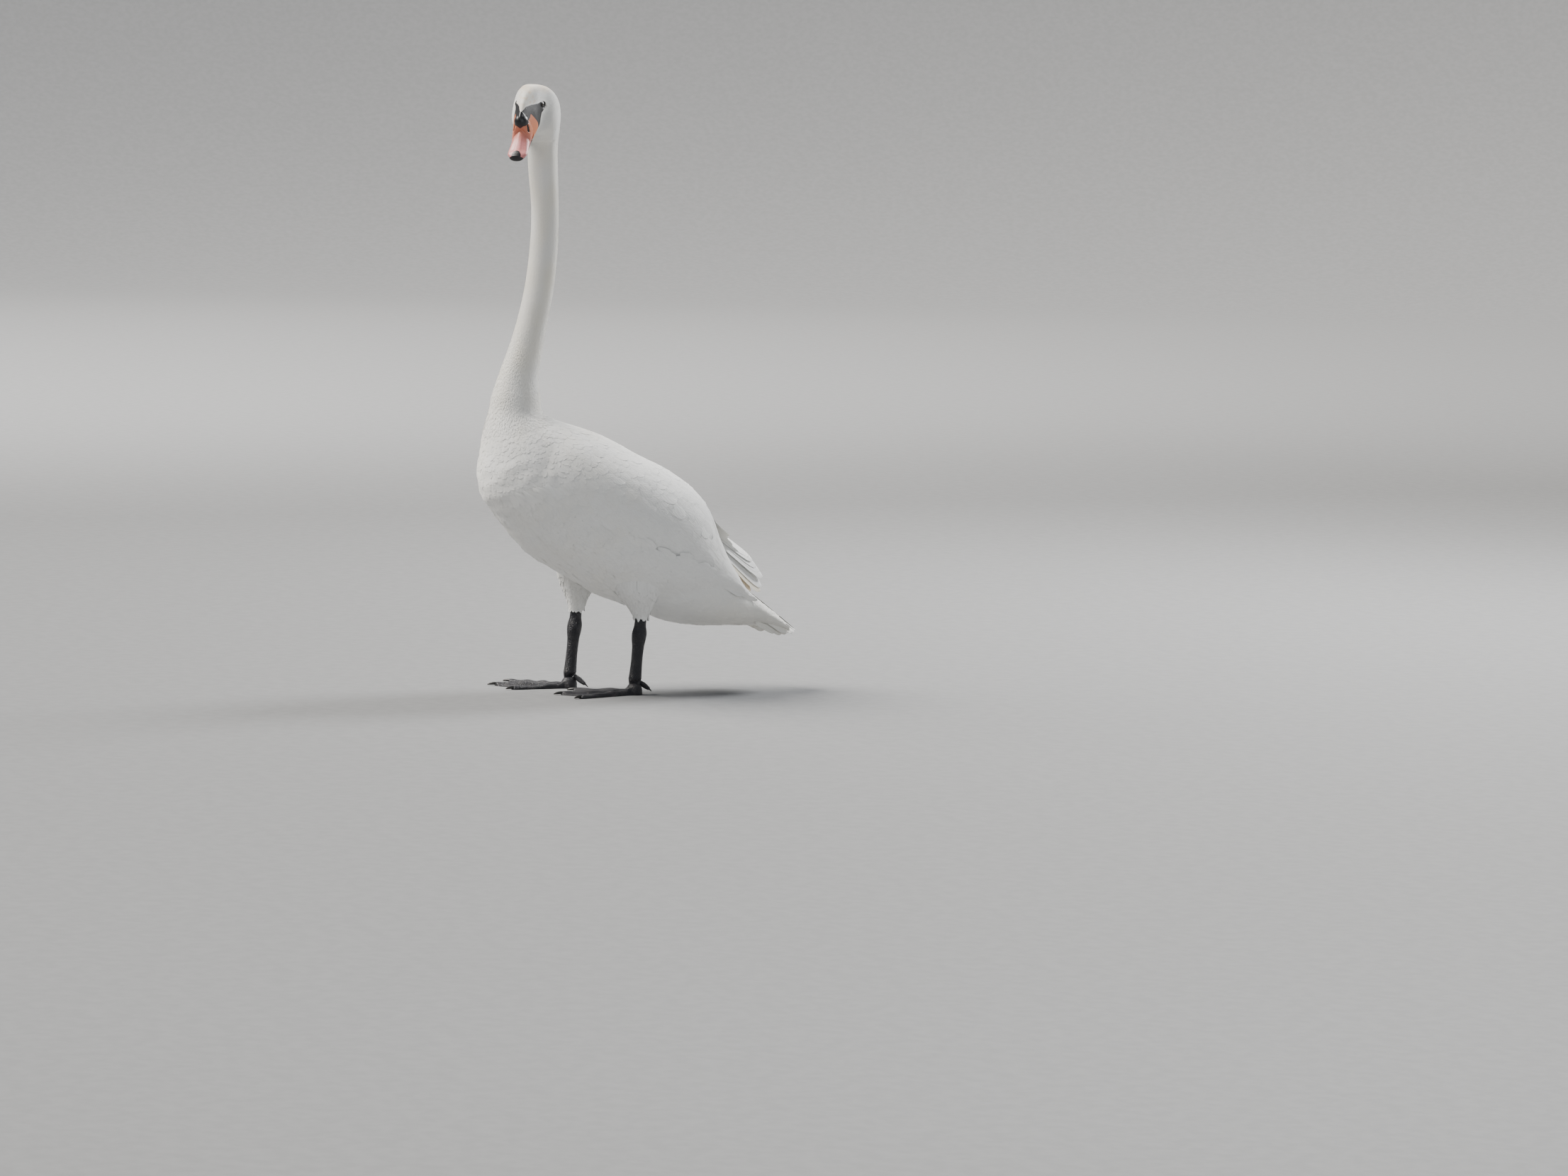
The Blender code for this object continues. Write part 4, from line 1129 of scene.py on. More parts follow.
def scales_at(sheet, way, angle):
    """Metres for each metre of way, metres round for each radian, and the skew between them."""
    here = read_sheet(sheet, way, angle)[0]
    along = (read_sheet(sheet, way + 0.003, angle)[0] - here) / 0.003
    around = (read_sheet(sheet, way, angle + 0.02)[0] - here) / 0.02
    length = np.maximum(np.linalg.norm(along, axis=-1), 0.15)
    skew = (around * along).sum(-1) / length
    across = np.sqrt(np.maximum((around**2).sum(-1) - skew**2, 1e-6))
    return length, across, skew


def set_roots(sheet, start, end, pitch, spacing, angles, random):
    """Way and angle of each root, in staggered rows across the lie. pitch and spacing are tables
    of the distance between rows, and between a row's feathers, over way.
    """
    fine = np.linspace(start, end, 400)
    rows_done = np.concatenate([[0], np.cumsum(np.diff(fine) / np.interp(fine[:-1], *pitch))])
    ways = np.interp(np.arange(0, rows_done[-1]), rows_done, fine)
    turn = np.linspace(angles[0], angles[1], 33)
    ring = read_sheet(sheet, ways[:, None], turn)[0]
    girth = np.linalg.norm(np.diff(ring, axis=1), axis=2).sum(axis=1)
    count = np.maximum(np.round(girth / np.interp(ways, *spacing)), 2).astype(int)
    row = np.repeat(np.arange(len(ways)), count)
    order = np.arange(count.sum()) - np.repeat(np.cumsum(count) - count, count)
    order = order + 0.5 * (row % 2) + random.uniform(-ROW_JITTER, ROW_JITTER, len(row))
    angle = angles[0] + (angles[1] - angles[0]) * order / count[row]
    jitter = random.uniform(-WAY_JITTER, WAY_JITTER, len(row))
    way = ways[row] + jitter * np.interp(ways[row], *pitch)
    return np.clip(way, start, end), angle


def lay_vanes(sheet, way, angle, size, turn, heights, vane, columns, random, fray):
    """Vanes that follow a sheet. A point's place along a feather is length x t, and across it
    half width x outline(t) x w. Its height over the sheet is root + (tip - root) t^0.85
    - dome (w outline)^2 + roll w, less the press that lays its tip on the feathers below.
    Returns points in an array of feather, row, column.
    """
    length, half_width = (np.asarray(value)[..., None, None] for value in size)
    root, tip, dome, roll, press = (np.asarray(value)[..., None, None] for value in heights)
    t, w = vane[:, 0][:, None], columns[None, :]
    along, across, skew = (value[:, None, None] for value in scales_at(sheet, way, angle))
    cosine, sine = np.cos(turn)[:, None, None], np.sin(turn)[:, None, None]
    reach = length * t
    side = half_width * vane[:, 1][:, None] * w
    if fray:
        side = side * (1 + random.normal(0, fray, (len(way), len(t), len(columns))))
        reach = reach * (1 + random.normal(0, fray * 0.25, (len(way), len(t), len(columns))) * t**3)
    lie_angle, cross_angle = sine / across, cosine / across
    lie_way, cross_way = (cosine - skew * lie_angle) / along, (-sine - skew * cross_angle) / along
    points, normals = read_sheet(sheet, way[:, None, None] + lie_way * reach + cross_way * side,
                                 angle[:, None, None] + lie_angle * reach + cross_angle * side)
    height = root + (tip - root) * t**0.85 - dome * (w * vane[:, 1][:, None]) ** 2 + roll * w
    height = height - press * smooth_step(0.55, 1.0, t)
    return points + normals * height[..., None]


def add_uv(mesh, name, places):
    """A UV map from one place for each point."""
    corners = np.empty(len(mesh.loops), np.int32)
    mesh.loops.foreach_get("vertex_index", corners)
    layer = mesh.uv_layers.new(name=name)
    layer.data.foreach_set("uv", places[corners].astype(np.float32).ravel())


def make_coat(name, material, tracts):
    """One mesh of many vanes. Each tract is its points by feather, row and column, its outline and
    columns, its roots' places on the unwrap, and its numbers for the material.
    """
    points, faces, own, bake, numbers, first = [], [], [], [], {}, 0
    for grid, vane, columns, unwrap, marks in tracts:
        feathers, rows, wide = grid.shape[:3]
        corner = np.arange((rows - 1) * wide).reshape(rows - 1, wide)[:, :-1].ravel()
        quads = np.stack([corner, corner + 1, corner + wide + 1, corner + wide], -1)
        starts = first + np.arange(feathers) * rows * wide
        faces.append((starts[:, None, None] + quads).reshape(-1, 4))
        points.append(grid.reshape(-1, 3))
        local = np.stack(np.broadcast_arrays(columns, vane[:, :1]), -1).reshape(-1, 2)
        own.append(np.tile(local, (feathers, 1)))
        patch = BAKE_PATCH * (local * (0.5, 1.0))
        bake.append((unwrap[:, None, :] + patch).reshape(-1, 2))
        for mark, values in marks.items():
            numbers.setdefault(mark, []).append(np.repeat(values, rows * wide))
        first += feathers * rows * wide
    points, faces = np.concatenate(points), np.concatenate(faces)
    mesh = bpy.data.meshes.new(name)
    mesh.vertices.add(len(points))
    mesh.vertices.foreach_set("co", points.astype(np.float32).ravel())
    mesh.loops.add(faces.size)
    mesh.loops.foreach_set("vertex_index", faces.ravel().astype(np.int32))
    mesh.polygons.add(len(faces))
    mesh.polygons.foreach_set("loop_start", np.arange(len(faces), dtype=np.int32) * 4)
    mesh.polygons.foreach_set("use_smooth", np.ones(len(faces), bool))
    mesh.update(calc_edges=True)
    mesh.materials.append(material)
    add_uv(mesh, "vane", np.concatenate(own) * 0.5 + 0.5)
    add_uv(mesh, "OFBake", np.concatenate(bake))
    set_numbers(mesh, **{mark: np.concatenate(values) for mark, values in numbers.items()})
    coat = bpy.data.objects.new(name, mesh)
    bpy.context.scene.collection.objects.link(coat)
    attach(coat, "root")
    return coat


def on_unwrap(way, angle):
    """The roots' places on the skin unrolled: round the bird across, from bill to tail up. The
    thighs' own unrolled skins lie above.
    """
    across = (angle / (2 * math.pi)) % 1
    return np.column_stack([0.005 + 0.985 * across, 0.003 + 0.80 * way / sheet_ways[-1]])


def make_plumage(name, barbs, roughness, sheen):
    """White feathers: a soft web of barbs that slope from the shaft to the edge, a faint shaft, and
    a cream or rusty wash where the bird is stained, a cream tint low on the rear body, and on the
    right wing's innermost feathers a painted warm glow of light shining through them.
    """
    paint = Paint(name, Roughness=roughness, Specular_IOR_Level=0.3, Sheen_Weight=sheen,
                  Sheen_Roughness=0.5)
    place = paint.node("UVMap", {}, uv_map="vane")[0]
    split = paint.node("SeparateXYZ", {0: place})
    aside = paint.maths("ABSOLUTE", paint.maths("SUBTRACT", split[0], 0.5))
    slope = paint.plus(split[1], paint.times(aside, -0.55))
    wave = paint.maths("SINE", paint.times(slope, barbs))
    shaft = paint.step(aside, 0.035, 0.0)
    colour = paint.mix(paint.number("cream_stain_and_glow"), WHITE_FEATHER, CREAM_FEATHER)
    colour = paint.mix(paint.number("rust_stain_and_glow"), colour, RUSTY_FEATHER)
    shade = paint.times(paint.number("tone"), 0.10)
    colour = paint.mix(shade, colour, (0.58, 0.59, 0.60))
    lines = paint.times(paint.step(wave, 0.2, 1.0), 0.07)
    colour = paint.mix(lines, colour, (0.55, 0.54, 0.52))
    colour = paint.mix(paint.times(shaft, 0.25), colour, (0.80, 0.77, 0.68))
    paint.set("Base Color", colour)
    relief = paint.plus(paint.times(wave, 0.3), shaft)
    paint.set("Normal", paint.bump(relief, 0.0002, strength=0.6))
    return paint.material


def coat_marks(points, random):
    """Numbers for the plumage: each feather's tone, and the cream and rusty wash of its place."""
    forward, _, up = in_head(points)
    neck_cream = hump(0.42, 0.60, 0.95, 1.05, points[:, 2])
    front = smooth_step(0.02, -0.06, points[:, 1] - MIDDLE[1])
    # A cream tint low on the body behind its middle, round the vent.
    vent = smooth_step(0.22, 0.12, points[:, 2]) * smooth_step(0.05, 0.2, points[:, 1] - MIDDLE[1])
    blotch = 0.5 + 0.5 * soft_noise(points, 0.05, 4)
    cream_stain_and_glow = 0.42 * neck_cream * (0.5 + 0.5 * blotch) + 0.16 * front * blotch + 0.35 * vent
    crown = smooth_step(0.016, 0.030, up) * hump(-0.055, -0.02, 0.04, 0.06, forward)
    forehead = smooth_step(-0.012, 0.004, up) * hump(0.018, 0.035, 0.06, 0.075, forward)
    spots = smooth_step(0.1, 0.8, soft_noise(points, 0.012, 9))
    rust_stain_and_glow = 0.60 * crown * (0.25 + 0.75 * blotch) + 0.50 * forehead * spots
    cream_stain_and_glow = cream_stain_and_glow + 0.60 * crown + 0.3 * forehead
    return {"tone": random.uniform(0, 1, len(points)), "cream_stain_and_glow": np.clip(cream_stain_and_glow, 0, 1),
            "rust_stain_and_glow": np.clip(rust_stain_and_glow, 0, 1)}


def cover(sheet, ways, pitch, spread, angles, seed, *, laps, width, wild, lump, sway, ruffle,
          dome, shape=BROAD, press=0.7, fray=0.0, unwrap=(1, 0), keep=None, shorten=None, veer=None,
          depth=None):
    """One tract of feathers, laid in staggered rows over a stretch of way. pitch is the distance
    between rows, and spread what the feathers of a row stand apart over that. laps is how many rows
    a feather's length spans, and width its half width over the gap to the next. wild and sway turn
    single feathers and whole lumps of them; ruffle lifts lumps, and press lays the tips down.
    """
    random = np.random.default_rng(seed)
    spacing = (pitch[0], pitch[1] * spread)
    way, angle = set_roots(sheet, *ways, pitch, spacing, angles, random)
    roots = read_sheet(sheet, way, angle)[0].astype(float)
    if keep:
        kept = keep(roots, way, angle)
        way, angle, roots = way[kept], angle[kept], roots[kept]
    rows_apart = np.interp(way, *pitch) * scales_at(sheet, way, angle)[0]
    lumps = soft_noise(roots, lump, seed + 50)
    vary = random.normal(0, 1, (5, len(way)))
    length = laps * rows_apart * (1 + LENGTH_VARIES * vary[0]) * (shorten(way) if shorten else 1.0)
    half_width = width * np.interp(way, *spacing) * (1 + WIDTH_VARIES * vary[1])
    turn = wild * vary[2] + sway * lumps + (veer(roots, angle) if veer else 0.0)
    depths = depth(way) if depth else coat_depth(place_at(way))
    depths = depths * smooth_step(-0.0005, 0.004, -bare_by(roots))
    gap = depths / laps
    heights = (-depths * ROOT_SINK, gap * (TIP_VARIES * vary[3] + ruffle * lumps),
               half_width * dome, half_width * ROLL_VARIES * vary[4], gap * press)
    grid = lay_vanes(sheet, way, angle, (length, half_width), turn, heights, *shape, random, fray)
    patches = on_unwrap(way, angle) * (1, unwrap[0]) + (0, unwrap[1])
    return grid, *shape, patches, coat_marks(roots, random)


def off_the_face(points, way, angle):
    """Leaves the bare face, the bill and the eyes free."""
    return bare_by(points) < -0.0003


WHOLE_TURN = (0.0, 2 * math.pi)
body_sheet = make_sheet(shoulder_rise)
velvet = make_plumage("short_plumage", 30, 0.75, 0.35)
head_pitch = (np.array([0.0, 2.0]), np.array([0.0016, 0.0016]))
head_coat = make_coat("head_coat", velvet, [
    cover(body_sheet, way_at([0.15, FIRST_NECK - 0.6]), head_pitch, 0.96875, WHOLE_TURN, 11,
          laps=4.0, width=0.98, wild=0.08, lump=0.02, sway=0.10, ruffle=0.15, dome=0.10,
          shape=SHORT, keep=off_the_face),
])
neck_pitch = (way_at([11.4, 16, 19.6]), np.array([0.0018, 0.0024, 0.0034]))
upper_neck_coat = make_coat("upper_neck_coat", velvet, [
    cover(body_sheet, way_at([FIRST_NECK - 0.8, FIRST_NECK + 3.4]), neck_pitch, 0.82, WHOLE_TURN,
          12, laps=4.4, width=0.96, wild=0.07, lump=0.05, sway=0.10, ruffle=0.2, dome=0.10,
          shape=SHORT),
])
lower_neck_coat = make_coat("lower_neck_coat", velvet, [
    cover(body_sheet, way_at([FIRST_NECK + 3.3, FIRST_BODY + 0.8]), neck_pitch, 0.82, WHOLE_TURN,
          13, laps=4.4, width=0.94, wild=0.07, lump=0.06, sway=0.10, ruffle=0.25, dome=0.10,
          shape=SHORT),
])


# ---------------------------------------------------------------- contour feathers of the trunk
# Breast, belly and flanks carry soft round-ended feathers whose edges ripple; those of the flanks
# sweep up over the folded wing's lower edge. The mantle's lie smoother, and the vent's are finer.


def body_way(body_place):
    return way_at(FIRST_BODY + np.asarray(body_place, float))


def not_hidden(points, way, angle):
    """False where the folded wings hide the trunk."""
    place = place_at(way)
    on_left = signed(angle) > 0
    share = np.where(on_left, wing_share(1, place, angle)[0], wing_share(-1, place, angle)[0])
    last = np.where(on_left, 12.4, 13.6)
    covered = (share > 0.10) & (share < 0.86) & (place - FIRST_BODY > 2.2)
    return ~(covered & (place - FIRST_BODY < last))


def sweep_up(points, angle):
    """Turns the flank feathers' lie a little towards the back on both sides."""
    return -0.20 * np.sin(angle) * smooth_step(-0.12, 0.02, points[:, 1] - MIDDLE[1])


contour = make_plumage("contour_plumage", 60, 0.68, 0.20)
breast_pitch = (body_way([0.5, 1.5, 3, 8, 12, 15]),
                np.array([0.0034, 0.0050, 0.0068, 0.0078, 0.0066, 0.0052]))
back_pitch = (body_way([0.5, 1.5, 3, 6, 9, 12, 15]),
              np.array([0.0034, 0.0060, 0.0100, 0.0135, 0.0150, 0.0085, 0.0070]))
breast_coat = make_coat("breast_coat", contour, [
    cover(body_sheet, body_way([0.6, 6.3]), breast_pitch, 1.12, (1.15, 5.13), 21,
          laps=3.8, width=0.94, wild=0.11, lump=0.06, sway=0.16, ruffle=0.25, dome=0.06,
          fray=0.02, press=1.1, veer=sweep_up, keep=not_hidden),
])
belly_coat = make_coat("belly_coat", contour, [
    cover(body_sheet, body_way([6.1, 15.2]), breast_pitch, 1.12, (1.0, 5.28), 22,
          laps=3.8, width=0.94, wild=0.13, lump=0.06, sway=0.20, ruffle=0.40, dome=0.06,
          fray=0.02, press=1.0, veer=sweep_up, keep=not_hidden),
])
mantle_coat = make_coat("mantle_coat", contour, [
    cover(body_sheet, body_way([0.6, 3.2]), back_pitch, 1.05, (-1.3, 1.3), 23,
          laps=3.6, width=0.92, wild=0.07, lump=0.06, sway=0.08, ruffle=0.2, dome=0.05,
          fray=0.015, press=1.1),
    cover(body_sheet, body_way([8.8, 14.9]), back_pitch, 1.05, (-1.3, 1.3), 24,
          laps=3.6, width=0.92, wild=0.09, lump=0.06, sway=0.10, ruffle=0.2, dome=0.07,
          fray=0.02, keep=not_hidden),
])


# ---------------------------------------------------------------- folded wings
# Each wing lies folded on the trunk. Rows of coverts grow larger from the shoulder back, long
# scapulars cover the middle, and the stiff tertials and secondaries make the wing's rear edge.
# The right wing stands off the rump and reaches farther back.

LONG = (
    np.array([(0, 0.12), (0.08, 0.5), (0.2, 0.78), (0.35, 0.92), (0.5, 0.99), (0.64, 1.0),
              (0.76, 0.99), (0.86, 0.95), (0.93, 0.84), (0.975, 0.62), (1.0, 0.20)]),
    np.array([-1.0, -0.72, -0.4, -0.12, 0.0, 0.12, 0.4, 0.72, 1.0]),
)
SHAFT_COLUMN = 4
SHAFT_RIDGE = 0.0003
QUILL_DOME = 0.08
QUILL_JITTER = 0.0016
wing_sheets = {
    side: make_sheet(lambda place, angle, side=side: wing_rise(side, place, angle))
    for side in (1, -1)
}


def on_side(side, low, high):
    """A stretch of angles on the left side, or its mirror image on the right."""
    return (low, high) if side > 0 else (2 * math.pi - high, 2 * math.pi - low)


def long_tract(sheet, roots, tips, half_width, heights, seed, curve=0.0, dome=0.05, ragged=0.015):
    """Long stiff feathers. The shaft runs straight from root to tip over (way, angle), bowed
    sideways by curve; the web spreads half width x outline(t) x w to each side of it, measured
    on the sheet; the height is root + (tip - root) t, less the dome, plus the shaft's ridge.
    """
    random = np.random.default_rng(seed)
    (t, outline_width), w = LONG[0].T, LONG[1]
    way = roots[:, 0, None] + (tips[:, 0] - roots[:, 0])[:, None] * t
    angle = roots[:, 1, None] + (tips[:, 1] - roots[:, 1])[:, None] * t
    angle = angle + curve * np.sin(math.pi * t)
    across = np.sqrt(scales_at(sheet, way, angle)[1] ** 2 + 1e-6)
    slope = np.arctan2(np.gradient(angle, axis=1) * across, np.gradient(way, axis=1))[..., None]
    side = (half_width[:, None] * outline_width)[..., None] * w
    side = side * (1 + random.normal(0, ragged, side.shape))
    points, normals = read_sheet(sheet, way[..., None] - side * np.sin(slope),
                                 angle[..., None] + side * np.cos(slope) / across[..., None])
    root, tip = (value[:, None, None] for value in heights)
    shaft = 0.0004 * np.exp(-((w / 0.10) ** 2)) * (1 - t)[:, None]
    height = root + (tip - root) * t[:, None] - dome * side**2 / half_width[:, None, None] + shaft
    grid = points + normals * height[..., None]
    return grid, *LONG, on_unwrap(*roots.T), coat_marks(grid[:, 0, SHAFT_COLUMN], random)


def wing_coverts(side, seed):
    """Coverts on one wing, from the shoulder to where the long feathers come out."""
    pitch = (body_way([1.6, 3, 5, 7, 8.5, 11]),
             np.array([0.0070, 0.0095, 0.0120, 0.0160, 0.0200, 0.0200]))

    def keep(points, way, angle):
        share = wing_share(side, place_at(way), angle)[0]
        return (share > -0.02) & (share < 1.0)

    return cover(wing_sheets[side], body_way([1.7, 9.4]), pitch, 1.05, on_side(side, 0.02, 1.85),
                 seed, laps=3.4, width=0.94, wild=0.04, lump=0.12, sway=0.05, ruffle=0.12,
                 dome=0.05, fray=0.012, press=1.05, keep=keep,
                 veer=lambda points, angle: side * -0.10)


def flight_feathers(side, end, count, shares, seed):
    """Tertials and secondaries: their roots lie in a row across the wing, 6 to 82 degrees from the
    back, and their tips line its rear edge as far as end, the inner ones on top.
    """
    order = np.linspace(0, 1, count)
    root_angle = np.radians(6 + 76 * order)
    root_way = body_way(6.9 + 1.5 * order**0.8)
    places = np.linspace(8.6, end, 200)
    table = WING_TABLES[side]
    upper = read_between(table, np.clip(places - 1, 0, len(table) - 1))[:, 0]
    tip_place = 9.4 + (end - 9.4) * np.minimum(order / 0.88, 1) ** 0.8
    lower = read_between(BODY_RINGS, tip_place)[:, 5]
    edge = np.interp(tip_place, places, upper)
    tip_angle = np.radians(edge + (lower - edge) * (shares[0] + (shares[1] - shares[0]) * order))
    random = np.random.default_rng(seed)
    tip_way = body_way(tip_place) + random.normal(0, 0.003, count)
    roots = np.column_stack([root_way, side * root_angle])
    tips = np.column_stack([tip_way, side * tip_angle])
    half_width = (0.0195 - 0.0045 * order) * (15 / count) ** 0.3
    layer = 0.0006 * (1 - order)
    heights = (layer - 0.0030, layer - 0.0008)
    return long_tract(wing_sheets[side], roots, tips, half_width, heights, seed + 1,
                      curve=-0.05 * side, dome=0.01, ragged=0.004)


def quills_between(roots, tips, half_width, roll, seed):
    """Stiff feathers from roots to tips. A point lies at root + way t + across half width
    outline(t) w, and over that by a ridge for the shaft less dome x half width w^2; across and up
    are turned about each feather by its roll, so that the outer ones hang like a roof's sides.
    """
    random = np.random.default_rng(seed)
    way = tips + random.normal(0, QUILL_JITTER, tips.shape) - roots
    aside = unit(np.cross(way, UP))
    above = unit(np.cross(aside, way))
    cosine, sine = np.cos(roll)[:, None], np.sin(roll)[:, None]
    across, over = aside * cosine - above * sine, above * cosine + aside * sine
    (t, outline_width), w = LONG[0].T[..., None], LONG[1]
    side = half_width * outline_width * w
    height = SHAFT_RIDGE * np.exp(-((w / 0.10) ** 2)) - QUILL_DOME * half_width * w**2 + 0 * t
    grid = (MIDDLE + roots)[:, None, None] + way[:, None, None] * t[..., None]
    grid = grid + across[:, None, None] * side[..., None] + over[:, None, None] * height[..., None]
    unwrap = on_unwrap(np.full(len(roots), body_way(15.5)), np.arctan2(roots[:, 0], 0.02))
    return grid, *LONG, unwrap, coat_marks(grid[:, 0, SHAFT_COLUMN], random)


# Inner feathers of the right wing, (outwards, y, z) at the tip, from the shortest on the rump to
# the longest, and their roll towards the back's middle
INNER_TIPS = np.array([
    (0.012, 0.226, 0.214), (0.015, 0.243, 0.199), (0.020, 0.258, 0.188), (0.026, 0.272, 0.178),
    (0.030, 0.286, 0.170), (0.034, 0.300, 0.171), (0.040, 0.307, 0.182), (0.047, 0.312, 0.196),
    (0.051, 0.309, 0.206), (0.054, 0.302, 0.215), (0.057, 0.292, 0.224), (0.059, 0.280, 0.234),
    (0.061, 0.266, 0.247), (0.063, 0.250, 0.262),
])
INNER_ROLLS = np.linspace(0.95, 0.45, len(INNER_TIPS))


def inner_feathers(seed):
    """The right wing's tertials and inner secondaries, which slope from its raised ridge down to
    the rump.
    """
    order = np.linspace(0, 1, len(INNER_TIPS))
    roots = np.column_stack([-0.012 - 0.044 * order, 0.130 + 0.012 * order, 0.338 - 0.006 * order])
    tips = INNER_TIPS * (-1, 1, 1)
    tract = quills_between(roots, tips, 0.0165, INNER_ROLLS, seed)
    # Painted glow: the shortest inner feathers get full cream and some rust, standing in for warm
    # light shining through them.
    tract[4]["cream_stain_and_glow"] = np.maximum(tract[4]["cream_stain_and_glow"], order < 0.42)
    tract[4]["rust_stain_and_glow"] = np.maximum(tract[4]["rust_stain_and_glow"], 0.35 * (order < 0.35))
    return tract


quills = make_plumage("quill_plumage", 150, 0.55, 0.10)
# side: (last tip's place on the body, feathers, shares of the wing at the first and last tip, seed)
FLIGHT = {1: (13.1, 15, (0.10, 0.52), 31), -1: (15.2, 23, (0.04, 0.62), 36)}
for side, (end, count, shares, seed) in FLIGHT.items():
    coverts = make_coat("wing_coverts_" + SIDE_NAMES[side], contour, [wing_coverts(side, seed)])
    tracts = [flight_feathers(side, end, count, shares, seed + 2)]
    if side < 0:
        tracts.append(inner_feathers(39))
    for coat in (coverts, make_coat("flight_feathers_" + SIDE_NAMES[side], quills, tracts)):
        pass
scapular_pitch = (body_way([2.6, 5, 7, 10]), np.array([0.0110, 0.0170, 0.0210, 0.0230]))
scapulars = make_coat("scapulars", contour, [
    cover(body_sheet, body_way([2.6, 9.5]), scapular_pitch, 0.95, (-0.95, 0.95), 41,
          laps=3.6, width=0.98, wild=0.06, lump=0.08, sway=0.07, ruffle=0.10, dome=0.05,
          fray=0.012, press=1.1),
])


# ---------------------------------------------------------------- flank feathers
# Full, soft feathers of the flank and rump swell up over each folded wing's lower edge and hold the
# wing in; the left wing's tip is tucked in behind them.

FLANK_SWELL = 0.0090
FLANK_DEPTH = 0.0040
MOST_UNDER_FLANK = {1: 1.0, -1: 0.012}  # of the wing's rise; the right wing stands clear


def flank_sheet(side):
    """The outline with the wing's rise under its lower part, more by the swell, fading below."""
    def rise(place, angle):
        share, _ = wing_share(side, place, angle)
        under = np.minimum(wing_rise(side, place, angle), MOST_UNDER_FLANK[side])
        swell = smooth_step(0.40, 0.95, share) * hump(6.5, 10.5, 12.0, 13.9, place - FIRST_BODY)
        return (under + FLANK_SWELL * swell) * smooth_step(1.75, 1.0, share)
    return make_sheet(rise)


def flank_feathers(side, seed):
    last = 13.7 if side > 0 else 10.4

    def keep(points, way, angle):
        place = place_at(way)
        body_place = place - FIRST_BODY
        share = wing_share(side, place, angle)[0]
        upper = np.interp(body_place, [4, 7, 9, 11, 12, 13.5], [0.96, 1.00, 0.98, 0.93, 0.84, 0.66])
        upper = upper + 0.05 * soft_noise(points, 0.045, seed + 3)
        return (share > upper) & (share < 1.62) & (body_place > 4.0) & (body_place < last)

    pitch = (body_way([4, 8, 12, 14]), np.array([0.0072, 0.0076, 0.0068, 0.0058]))
    return cover(flank_sheet(side), body_way([3.9, last]), pitch, 0.95, on_side(side, 0.75, 2.55),
                 seed, laps=4.4, width=1.02, wild=0.15, lump=0.045, sway=0.24, ruffle=0.45,
                 dome=0.08, fray=0.03, press=0.9, keep=keep,
                 veer=lambda points, angle: -0.16 * side, depth=lambda way: FLANK_DEPTH)


for side, seed in ((1, 45), (-1, 48)):
    coat = make_coat("flank_coat_" + SIDE_NAMES[side], contour, [flank_feathers(side, seed)])


# ---------------------------------------------------------------- tail
# A short wedge of stiff tail feathers, the middle pair longest, over and under which the rump's and
# vent's soft coverts reach. A few loose tufts hang out under it.


def spread_out(count):
    """Shares from -1 to 1 across a fan, the outermost first so that the middle ones lie on top."""
    order = np.linspace(-1, 1, count)
    return order[np.argsort(-np.abs(order), kind="stable")]


def tail_fan(seed, count, spread, start, tips, half_width, depths, middle):
    """One layer of the fan: feathers spread evenly either side of the middle angle, the outer ones
    shorter.
    """
    random = np.random.default_rng(seed)
    order = spread_out(count)
    finish = tips[0] + (tips[1] - tips[0]) * np.abs(order) ** 1.6
    roots = np.column_stack([body_way(np.full(count, start)), middle + spread * order])
    tip_angle = middle + spread * order * 1.08 + random.normal(0, 0.05, count)
    ends = np.column_stack([body_way(finish) + random.normal(0, 0.0060, count), tip_angle])
    layer = 0.0007 * (1 - np.abs(order))
    heights = (layer + depths[0], layer + depths[1])
    return long_tract(body_sheet, roots, ends, np.full(count, half_width), heights, seed + 1)


def roof_of_quills(count, drop, seed):
    """The tail's fan, ridge in the middle, with its outer feathers shorter, lower and turned out;
    drop is how far a second fan lies under the first.
    """
    order = spread_out(count)
    out = np.abs(order) ** 1.4
    roots = np.column_stack([0.030 * order, 0.262 - 0.004 * out, 0.180 - 0.027 * out])
    tips = np.column_stack([0.045 * order, 0.357 - 0.034 * out, 0.1045 + 0.002 * out])
    roots, tips = roots - (0, drop, drop), tips - (0, drop, drop / 2)
    return quills_between(roots, tips, 0.0098, 0.95 * order, seed)


def under_tail_tuft(side, seed):
    """Five small loose feathers beside the vent."""
    order = np.linspace(-1, 1, 5)
    roots = np.column_stack([0.036 + 0.003 * order, 0.266 + 0 * order, 0.1255 - 0.002 * order])
    tips = np.column_stack([0.041 + 0.002 * order, 0.297 + 0.004 * order, 0.1095 - 0.003 * order])
    roll = side * (1.25 + 0.2 * order)
    return quills_between(roots * (side, 1, 1), tips * (side, 1, 1), 0.0050, roll, seed)


